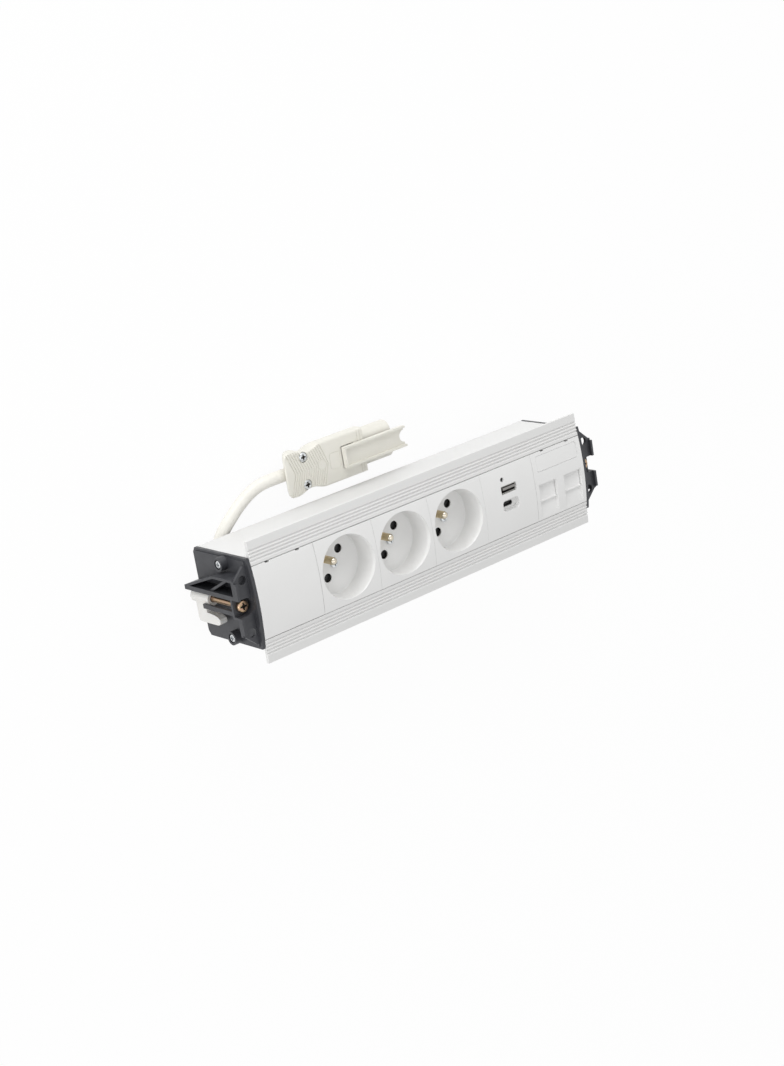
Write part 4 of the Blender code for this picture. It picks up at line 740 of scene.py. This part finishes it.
def build_dust_shutter(label, x):
    """Flat slide with a raised thumb bar along its lower edge."""
    node = "data_shutter_" + label
    top_y = 1.0 * MM
    low_y = top_y - 12.0 * MM
    low = SHUTTER_BED + CLEAR
    top = low + 1.2 * MM
    outline = [(low_y, low), (top_y, low), (top_y, top), (low_y + 1.9 * MM, top),
               (low_y + 1.4 * MM, top + 0.25 * MM), (low_y + 1.1 * MM, top + 0.8 * MM),
               (low_y + 0.3 * MM, top + 0.8 * MM), (low_y, top + 0.3 * MM)]
    make("dust_shutter_" + label, prism(outline, "X", *around(x, 7.7 * MM)),
         "white_plate_plastic", [node], body=node, edge=0.15 * MM)


# Brackets and clamps


def left_x(reach):
    """Place on the left bracket that stands out by reach from its cap."""
    return -CAP_OUTER - reach


def inset(outline, walls):
    """Moves each edge of an anticlockwise convex outline inwards by its wall."""
    lines = []
    for index, (a, b) in enumerate(outline):
        c, d = outline[(index + 1) % len(outline)]
        length = math.hypot(c - a, d - b)
        shift = walls[index] / length
        lines.append(((a - (d - b) * shift, b + (c - a) * shift), (c - a, d - b)))
    points = []
    for index, ((a, b), (dx, dy)) in enumerate(lines):
        (c, d), (ex, ey) = lines[index - 1]
        step = ((a - c) * dy - (b - d) * dx) / (ex * dy - ey * dx)
        points.append((c + ex * step, d + ey * step))
    return points


def build_bracket(label, turn):
    """Moulded end bracket, drawn for the left end and turned half way for the right."""
    inner, outer, tip = left_x(-2.0 * MM), left_x(0), left_x(REACH)
    root = outer + OVER
    cap = crown_line(-TROUGH_HALF, TROUGH_HALF, CLEAR)
    low = [(TROUGH_HALF, BACK_Z + 2 * MM), (TROUGH_HALF - 3 * MM, BACK_Z)]
    cap += low + [(-y, z) for y, z in reversed(low)]
    half = TROUGH_HALF - FIELD_MARGIN
    field = crown_line(-half, half, 2.6 * MM)
    field += [(half, BACK_Z + 3.2 * MM), (-half, BACK_Z + 3.2 * MM)]
    web = [(-OVER, -24 * MM), (2 * MM, -24 * MM), (9 * MM, -17.4 * MM), (REACH, -17.0 * MM)]
    web = [(left_x(reach), y) for reach, y in web + [(reach, -y) for reach, y in reversed(web)]]
    steps = [("+", prism(field, "X", left_x(0.6 * MM), root)),
             ("+", prism(web, "Z", WEB_BOTTOM, WEB_TOP))]
    for side in (1, -1):
        lip = sorted((side * 5.3 * MM, side * 15.8 * MM))
        steps.append(("+", box((tip, left_x(REACH - 1.6 * MM)), lip,
                               (WEB_BOTTOM + OVER, WEB_TOP + 2 * MM))))
    steps += [("+", box((tip + 0.1 * MM, root), around(0, 6.8 * MM),
                        (SEAT_BOTTOM, WEB_TOP - 0.1 * MM))),
              ("+", box((tip + 0.13 * MM, left_x(REACH - 1.7 * MM)), (-4.8 * MM, -2.0 * MM),
                        (EDGE_Z - 39.1 * MM, SEAT_BOTTOM + OVER)))]
    upper = [(GUSSET_FAR, GUSSET_SHOULDER), (GUSSET_FAR, WEB_BOTTOM + OVER),
             (GUSSET_NEAR, WEB_BOTTOM + OVER)]
    gusset = [(GUSSET_NEAR, GUSSET_BOTTOM), (GUSSET_TOE, GUSSET_BOTTOM)] + upper
    steps.append(("+", prism(gusset, "X", tip + 0.17 * MM, root)))
    slope = (GUSSET_SHOULDER - GUSSET_BOTTOM) / (GUSSET_FAR - GUSSET_TOE)
    sharp = [(GUSSET_NEAR, GUSSET_BOTTOM - (GUSSET_TOE - GUSSET_NEAR) * slope)] + upper
    pocket = inset(sharp, [GUSSET_WALL] * 3 + [GUSSET_INNER_WALL])
    steps += [("-", prism(pocket, "X", tip - OVER, outer - OVER)),
              ("+", gusset_diagonal(pocket, outer, tip))]
    for side in (1, -1):
        centre = (side * PORT_Y, PORT_Z)
        fixing = (left_x(4 * MM), side * 16.3 * MM)
        steps += [("+", rod(centre, 4.25 * MM, "X", left_x(BOSS_REACH), root)),
                  ("-", rod(centre, 2.9 * MM, "X", left_x(BOSS_REACH + OVER), left_x(3.1 * MM))),
                  ("-", rod(centre, 1.7 * MM, "X", left_x(BOSS_REACH), inner + OVER)),
                  ("-", rod(fixing, 2.75 * MM, "Z", WEB_BOTTOM - OVER, WEB_TOP + OVER))]
    seat = (CLAMP_X, 0.0)
    steps += [("-", rod(seat, 5.3 * MM, "Z", SEAT_TOP, EDGE_Z)),
              ("-", box((tip - OVER, CLAMP_X), around(0, 5.24 * MM),
                        (SEAT_TOP + 0.05 * MM, EDGE_Z))),
              ("-", rod(seat, 2.3 * MM, "Z", SEAT_BOTTOM - OVER, EDGE_Z)),
              ("-", rod((-10 * MM, EDGE_Z - 33 * MM), 5 * MM, "X", outer - OVER, inner + OVER))]
    make("bracket_" + label, prism(cap, "X", inner, outer), "black_glass_nylon",
         ["end_bracket_" + label], steps=steps, edge=0.22 * MM, turn=turn)


def gusset_diagonal(pocket, outer, tip):
    """Diagonal rib across the cored gusset."""
    low_y, low_z = pocket[0]
    shoulder_y, top_z = pocket[2]
    start = Vector((low_y - OVER, low_z + (top_z - low_z) * 0.45))
    end = Vector((shoulder_y + OVER, top_z - (top_z - low_z) * 0.12))
    side = (end - start).orthogonal().normalized() * (0.75 * MM)
    outline = [tuple(point) for point in (start - side, end - side, end + side, start + side)]
    return prism(outline, "X", tip + 1.5 * MM, outer + OVER / 2)


def build_bracket_screws(label, way):
    seat = way * (CAP_OUTER + 3.4 * MM)
    for side, edge in ((1, "back"), (-1, "front")):
        name = "%s_%s" % (label, edge)
        build_screw("cap_screw_" + name, (side * PORT_Y, PORT_Z), "X", seat, way, *SMALL_HEAD,
                    ["bracket_screw_" + name])


def build_clamp(label, turn):
    """Long clamp screw, its nut and the claw that swings under the desk."""
    axis = (CLAMP_X, 0.0)
    # The bolt's cross recess gets painted shade
    build_screw("clamp_bolt_" + label, axis, "Z", SEAT_TOP + CLEAR, 1, 3.75 * MM, 2.4 * MM,
                ["clamp_screw_" + label], "yellow_zinc_steel", 2.0 * MM, 46 * MM,
                "clamp_screw_" + label, turn, shade_the_recess=True)
    build_nut(label, axis, turn)
    arm = [(0, 4.2), (-13.3, 4.2), (-14.5, 4.9), (-15.0, 6.4), (-15.0, 22.8), (-14.6, 24.6),
           (-13.6, 25.9), (-12.2, 26.4), (-10.9, 26.0), (-9.8, 24.6), (-8.9, 21.6), (-8.5, 18.2),
           (-8.3, 14.0), (0, 14.0)]
    arm = [(y * MM, CLAW_LOW + z * MM) for y, z in arm]
    steps = [("+", prism(arm, "X", *around(CLAMP_X - 1.2 * MM, 2.5 * MM))),
             ("-", rod(axis, 2.3 * MM, "Z", CLAW_LOW - OVER, CLAW_LOW + CLAW_LONG + MM)),
             ("-", rod(axis, 3.3 * MM, "Z", CLAW_LOW - OVER, CLAW_LOW + 3.6 * MM))]
    make("claw_" + label, rod(axis, 4.2 * MM, "Z", CLAW_LOW, CLAW_LOW + CLAW_LONG), "white_nylon",
         ["clamp_claw_" + label], "clamp_claw_" + label, steps, 0.5 * MM, turn)


def build_nut(label, axis, turn):
    """Threaded nut held inside the foot of the claw."""
    low = CLAW_LOW + 0.6 * MM
    bore = rod(axis, 2.2 * MM, "Z", low - OVER, low + 3.2 * MM)
    make("clamp_nut_ring_" + label, rod(axis, 3.0 * MM, "Z", low, low + 2.6 * MM, 32),
         "yellow_zinc_steel", ["clamp_nut_" + label], "clamp_nut_" + label, [("-", bore)],
         0.15 * MM, turn)


# Hoods under the trough


def build_hoods():
    """Two low hoods; the data one has two holes for its leads."""
    for kind, x, low, high in (("mains", -HOOD_X, -27 * MM, -18 * MM),
                               ("data", HOOD_X, -27 * MM, 20 * MM)):
        middle = (x, (low + high) / 2)
        rings = []
        for draw, rise in quarter_round(4):
            less = 2 * HOOD_ROUND * draw
            outline = rounded(middle, HOOD_WIDE - less, high - low - less, HOOD_CORNER)
            rings.append([(a, b, HOOD_ROUND * rise) for a, b in outline])
        outline = rounded(middle, HOOD_WIDE, high - low, HOOD_CORNER)
        rings.append([(a, b, HOOD_TOP) for a, b in outline])
        steps = []
        if kind == "data":
            wall = x - HOOD_WIDE / 2
            steps = [("-", rod((side * 14 * MM, 5.15 * MM), 3.5 * MM, "X", wall - OVER, wall + MM))
                     for side in (1, -1)]
        make(kind + "_hood", loft(*rings), "black_glass_nylon", [kind + "_cord_hood"], steps=steps)


# Lead


CORD_ROUTE = (
    (-118.6, 2.6, 4.9), (-118.6, 5.0, 4.9), (-117.8, 12.4, 4.4), (-115.3, 19.5, 4.2),
    (-111.3, 25.8, 4.2), (-106.8, 30.3, 4.2), (-100.8, 35.2, 4.2), (-94.3, 39.9, 4.2),
    (-87.3, 44.0, 4.5), (-81.3, 46.8, 5.4), (-75.0, 48.5, 7.0), (-68.5, 49.0, 8.0),
    (-65.8, 49.0, 8.0),
)


def smooth_curve(points, pieces):
    """A Catmull-Rom curve through the route's points."""
    ends = [2 * points[0] - points[1]] + points + [2 * points[-1] - points[-2]]
    curve = []
    for before, start, end, after in zip(ends, ends[1:], ends[2:], ends[3:]):
        for step in range(pieces):
            t = step / pieces
            curve.append(0.5 * ((2 * start) + (end - before) * t
                                + (2 * before - 5 * start + 4 * end - after) * t * t
                                + (3 * start - before - 3 * end + after) * t ** 3))
    return curve + [points[-1]]


def build_cord():
    """The lead as a tube on its own centreline."""
    route = [Vector(point) * MM for point in CORD_ROUTE]
    line = [route[0]] + smooth_curve(route[1:-1], 3) + [route[-1]]
    curve = bpy.data.curves.new("lead", "CURVE")
    curve.dimensions = "3D"
    curve.bevel_depth = CORD_RADIUS
    curve.bevel_resolution = 7
    curve.use_fill_caps = True
    spline = curve.splines.new("POLY")
    spline.points.add(len(line) - 1)
    for mark, point in zip(spline.points, line):
        mark.co = (*point, 1.0)
    spline.use_smooth = True
    lead = add_object("lead", curve)
    curve.materials.append(FINISH["cream_cord_jacket"])
    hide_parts("mains_cord")
    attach(lead, "root")


def build_relief():
    """Tapered sleeve at the hood, with two rings moulded into it."""
    profile = [(-17.7, 4.8), (-14.0, 4.8), (-13.6, 4.5), (-12.8, 4.5), (-12.4, 4.75), (-9.0, 4.65),
               (-8.6, 4.4), (-7.8, 4.4), (-7.4, 4.6), (1.7, 4.35), (2.3, 4.1)]
    rings = [[(a, at * MM, b) for a, b in circle((-HOOD_X, RELIEF_Z), radius * MM, 40)]
             for at, radius in profile]
    return make("relief", loft(*rings), "cream_cord_jacket", ["cord_strain_relief"], edge=0)


# Connector on the lead


def shell_half_width(along):
    """Half width of the shell: round at the cord end, then drawn in to a waist."""
    width = SHELL_HALF
    if abs(along - WAIST_AT) < WAIST_REACH:
        width -= 1.3 * MM * (1 + math.cos(math.pi * (along - WAIST_AT) / WAIST_REACH))
    if along < TAIL_CORNER:
        rest = 1 - along / TAIL_CORNER
        width -= TAIL_CORNER * (1 - math.sqrt(max(0.0, 1 - rest * rest)))
    return width


def shell_ring(draw, z):
    """Plan of the shell at height z, drawn in all round. Its rear stands further
    in the lower it is, so that the top hangs over the cord, and its lower half
    narrows towards the floor."""
    below = max(0.0, SHELL_MIDDLE - z)
    draft = 0.36 * below
    undercut = 10.5 * MM * (1 - z / SHELL_TOP) + 0.25 * below
    stations = [TAIL_CORNER * share for share in (0.0, 0.03, 0.1, 0.22, 0.4, 0.65)]
    stations += [(5.5 + 1.35 * step) * MM for step in range(20)]
    stations += [SHELL_LONG - 2 * MM, SHELL_LONG]
    upper = []
    for along in stations:
        x = min(max(along, draw), SHELL_LONG - draw) + undercut * max(0.0, 1 - along / (16 * MM))
        upper.append((TAIL_X + x, shell_half_width(along) - draw - draft))
    return ([(x, LEAD_Y + half, z) for x, half in upper]
            + [(x, LEAD_Y - half, z) for x, half in reversed(upper)])


def shell_body(outer_z, inner_z):
    """One half of the shell, from its outer face to the joint, its outer edge rounded."""
    way = 1 if inner_z > outer_z else -1
    edge = 1.5 * MM
    chamfer = 0.2 * MM
    rings = [shell_ring(edge * draw, outer_z + way * edge * rise)
             for draw, rise in quarter_round(5)]
    return loft(*rings, shell_ring(0.0, inner_z - way * chamfer), shell_ring(chamfer, inner_z))


def grip_grooves():
    """Chevron grooves across the grip, their tips towards the nose."""
    steps = []
    reach = SHELL_HALF + MM
    lean = 5.4 * MM
    wide = 0.85 * MM
    for number in range(15):
        tip = TAIL_X + (7.9 + 1.85 * number) * MM
        end = tip - lean
        outline = [(tip, LEAD_Y), (end, LEAD_Y + reach), (end - wide, LEAD_Y + reach),
                   (tip - wide, LEAD_Y), (end - wide, LEAD_Y - reach), (end, LEAD_Y - reach)]
        steps.append(("-", prism(outline, "Z", SHELL_TOP - 0.42 * MM, SHELL_TOP + OVER)))
    return steps


def ring_tool(outer, inner, low):
    """A thin ring to cut a groove along an outline; both outlines have equal counts."""
    data = bmesh.new()
    count = len(outer)
    top = SHELL_TOP + OVER
    loops = [[data.verts.new((a, b, z)) for a, b in line]
             for line, z in ((outer, low), (outer, top), (inner, top), (inner, low))]
    for here, there in zip(loops, loops[1:] + loops[:1]):
        for index in range(count):
            after = (index + 1) % count
            data.faces.new((here[index], here[after], there[after], there[index]))
    return data


def shell_pocket(start, end, half, deep):
    """A pocket in the top of the shell, its ends measured from the cord end."""
    return ("-", box((TAIL_X + start, TAIL_X + end), around(LEAD_Y, half),
                     (SHELL_TOP - deep, SHELL_TOP + OVER)))


def build_shell():
    """Two shell halves, with grip, bare mark fields and the lever's pocket."""
    tenon = rounded((LEAD_Y, SHELL_MIDDLE), 22.6 * MM, 11.6 * MM, 5.5 * MM)
    sleeve = rod((LEAD_Y, SHELL_MIDDLE), CORD_RADIUS, "X", TAIL_X - 0.28 * MM, TAIL_X + 12 * MM)
    pieces = [make("cord_in_clamp", sleeve, "cream_cord_jacket", ["connector_base"], edge=0)]
    mouth = (SHELL_FRONT - 6.3 * MM, SHELL_FRONT + OVER)
    steps = [("-", prism(tenon, "X", *mouth))]
    pieces.append(make("shell_base", shell_body(0.0, SHELL_MIDDLE - SHELL_JOINT_HALF),
                       "cream_connector_plastic", ["connector_base"], steps=steps,
                       edge=0.15 * MM))
    steps = [("-", prism(tenon, "X", *mouth))] + grip_grooves()
    mark = (TAIL_X + 28.8 * MM, LEAD_Y)
    field = (TAIL_X + 39.2 * MM, LEAD_Y)
    steps += [("+", rod(mark, 3.3 * MM, "Z", SHELL_TOP - 2 * MM, SHELL_TOP - 0.02 * MM)),
              ("-", ring_tool(circle(mark, 3.35 * MM), circle(mark, 3.0 * MM),
                              SHELL_TOP - 0.3 * MM)),
              ("-", ring_tool(rounded(field, 8.6 * MM, 10.6 * MM, 1.8 * MM),
                              rounded(field, 8.0 * MM, 10.0 * MM, 1.5 * MM),
                              SHELL_TOP - 0.22 * MM))]
    for at in (58.6 * MM, 60.9 * MM):
        steps.append(shell_pocket(at, at + 0.5 * MM, 16 * MM, 0.3 * MM))
    steps += [shell_pocket(44.8 * MM, 55 * MM, 7.1 * MM, 2 * MM),
              shell_pocket(55.9 * MM, 60.1 * MM, 5.75 * MM, 1.8 * MM)]
    for centre in SHELL_SCREWS.values():
        steps.append(("-", rod(centre, 3.3 * MM, "Z", SHELL_TOP - 2.1 * MM, SHELL_TOP + OVER)))
    pieces.append(make("shell_cover", shell_body(SHELL_TOP, SHELL_MIDDLE + SHELL_JOINT_HALF),
                       "cream_connector_plastic", ["connector_cover"], steps=steps,
                       edge=0.12 * MM))
    for label, centre in SHELL_SCREWS.items():
        # Their cross recesses get painted shade
        pieces.append(build_screw("shell_screw_" + label, centre, "Z", SHELL_TOP - 1.8 * MM, 1,
                                  3.0 * MM, 1.7 * MM, ["connector_screw_" + label], shade_the_recess=True))
    return pieces


def build_nose():
    """Round-sided shroud, its well and the three pins."""
    root = SHELL_FRONT - 6 * MM
    middle = (LEAD_Y, SHELL_MIDDLE)
    outer = rounded(middle, 24 * MM, 13 * MM, 6.2 * MM, 12)
    well = rounded(middle, 20.8 * MM, 9.8 * MM, 4.6 * MM, 12)
    tenon = rounded(middle, 22 * MM, 11 * MM, 5.5 * MM)
    steps = [("+", prism(tenon, "X", root, NOSE_START + OVER)),
             ("-", prism(well, "X", NOSE_TIP - 18 * MM, NOSE_TIP + OVER))]
    for y in CONTACTS.values():
        steps.append(("-", rod((y, SHELL_MIDDLE), 1.8 * MM, "X", root - OVER,
                               NOSE_TIP - 17.5 * MM, 32)))
    pieces = [make("nose", prism(outer, "X", NOSE_START, NOSE_TIP), "cream_connector_plastic",
                   ["connector_insert"], steps=steps, edge=0.3 * MM)]
    end = NOSE_TIP - 5 * MM
    profile = [(1.5 * MM, root), (1.5 * MM, end - 1.2 * MM), (1.4 * MM, end - 0.7 * MM),
               (1.1 * MM, end - 0.25 * MM), (0.6 * MM, end)]
    for label, y in CONTACTS.items():
        pieces.append(make("pin_" + label, turned((y, SHELL_MIDDLE), profile, 32, "X"),
                           "nickel_brass", ["connector_pin_" + label], edge=0))
    return pieces


def build_lever():
    """Locking lever: a long tray with thin rims and a round notch at its end."""
    low = SHELL_TOP + 0.5 * MM
    top = low + 3.3 * MM
    start = TAIL_X + 45 * MM
    end = start + 50 * MM
    slant = 1.65 * MM
    inside = around(LEAD_Y, 5.45 * MM)
    side_view = [(start, low), (end - slant, low), (end, low + slant), (end, top),
                 (start + CLEAR, top)]
    steps = [("-", box((start + 1.3 * MM, end + OVER), inside, (low + 1.4 * MM, top + OVER))),
             ("-", rod((end, LEAD_Y), 4 * MM, "Z", low - OVER, low + 2.4 * MM)),
             ("+", box((TAIL_X + 56.5 * MM, TAIL_X + 59.5 * MM), inside,
                       (SHELL_TOP - 1.5 * MM, low + OVER)))]
    return make("lever", prism(side_view, "Y", *around(LEAD_Y, 6.75 * MM)),
                "cream_connector_plastic", ["connector_lever"], "connector_lever", steps,
                0.22 * MM)


# Studio


def seen_rays(tree, *kinds):
    """1 for light rays of the named kinds and 0 for all others."""
    path = add_node(tree, "LightPath")
    seen = path.outputs["Is %s Ray" % kinds[0]]
    for kind in kinds[1:]:
        seen = add_node(tree, "Math", {"operation": "ADD", "use_clamp": True},
                        {0: seen, 1: path.outputs["Is %s Ray" % kind]}).outputs[0]
    return seen


def build_floor():
    """Pale paper floor: most of what the camera sees of it glows, and the rest takes shadow."""
    floor = solid("studio_floor", prism(circle((0, 0), 6.0, 96), "Z", -0.02, 0.0))
    material, surface = start_finish("studio_paper", "#F4F4F4", 0.9)
    rough_skin(surface, 2 * MM, 0.02 * MM, 0.05)
    tree, shader = surface[:2]
    seen = seen_rays(tree, "Camera", "Glossy", "Transmission")
    share = add_node(tree, "Math", {"operation": "MULTIPLY", 1: 0.95}, {0: seen})
    glow = add_node(tree, "Emission", {"Color": (1, 1, 1, 1), "Strength": 1.0})
    mix = add_node(tree, "MixShader",
                   links={0: share.outputs[0], 1: shader.outputs[0], 2: glow.outputs[0]})
    tree.links.new(mix.outputs[0], tree.nodes["Material Output"].inputs["Surface"])
    floor.data.materials.append(material)


def build_surround():
    """Plain world: white where the camera sees it, weaker as a source of light."""
    world = bpy.data.worlds.new("studio")
    bpy.context.scene.world = world
    world.use_nodes = True
    tree = world.node_tree
    back = tree.nodes["Background"]
    strength = add_node(tree, "MapRange", {"To Min": 0.53, "To Max": 1.0},
                        {"Value": seen_rays(tree, "Camera", "Glossy")})
    back.inputs["Color"].default_value = (1, 1, 1, 1)
    tree.links.new(strength.outputs["Result"], back.inputs["Strength"])


def build_lamps():
    """Soft square lamps, each turned to the middle of the module; size in metres, watts."""
    target = Vector((0, 0, 0.03))
    for name, place, size, power in (("side_softbox", (-0.2, 1.8, 0.6), 1.4, 22),
                                     ("top_softbox", (-0.6, -0.2, 2.2), 1.6, 9),
                                     ("end_fill", (-3.0, -0.1, 0.7), 1.4, 30)):
        light = bpy.data.lights.new(name, "AREA")
        light.size = size
        light.energy = power
        lamp = add_object(name, light)
        lamp.location = place
        lamp.rotation_euler = (target - Vector(place)).to_track_quat("-Z", "Y").to_euler()


def dress_the_rest():
    """Gives CAD pieces that stay in view the finish of their slot."""
    slots = {part["node"]: part["material_slot"] for part in frame["record"]["subparts"]}
    for name, node in frame["nodes"].items():
        node.data.materials.clear()
        node.data.materials.append(FINISH[slots[name]])


place_camera()
dress_the_rest()
connector = build_shell() + build_nose() + [build_lever(), build_relief()]
build_cord()
build_floor()
build_surround()
build_lamps()
build_trough()
build_blank()
for number in (1, 2, 3):
    build_socket(number)
build_charger()
build_data_outlet()
for label, turn, way in (("left", 0.0, -1), ("right", math.pi, 1)):
    build_bracket(label, turn)
    build_bracket_screws(label, way)
    build_clamp(label, turn)
build_hoods()
bpy.context.scene.view_settings.view_transform = "Standard"
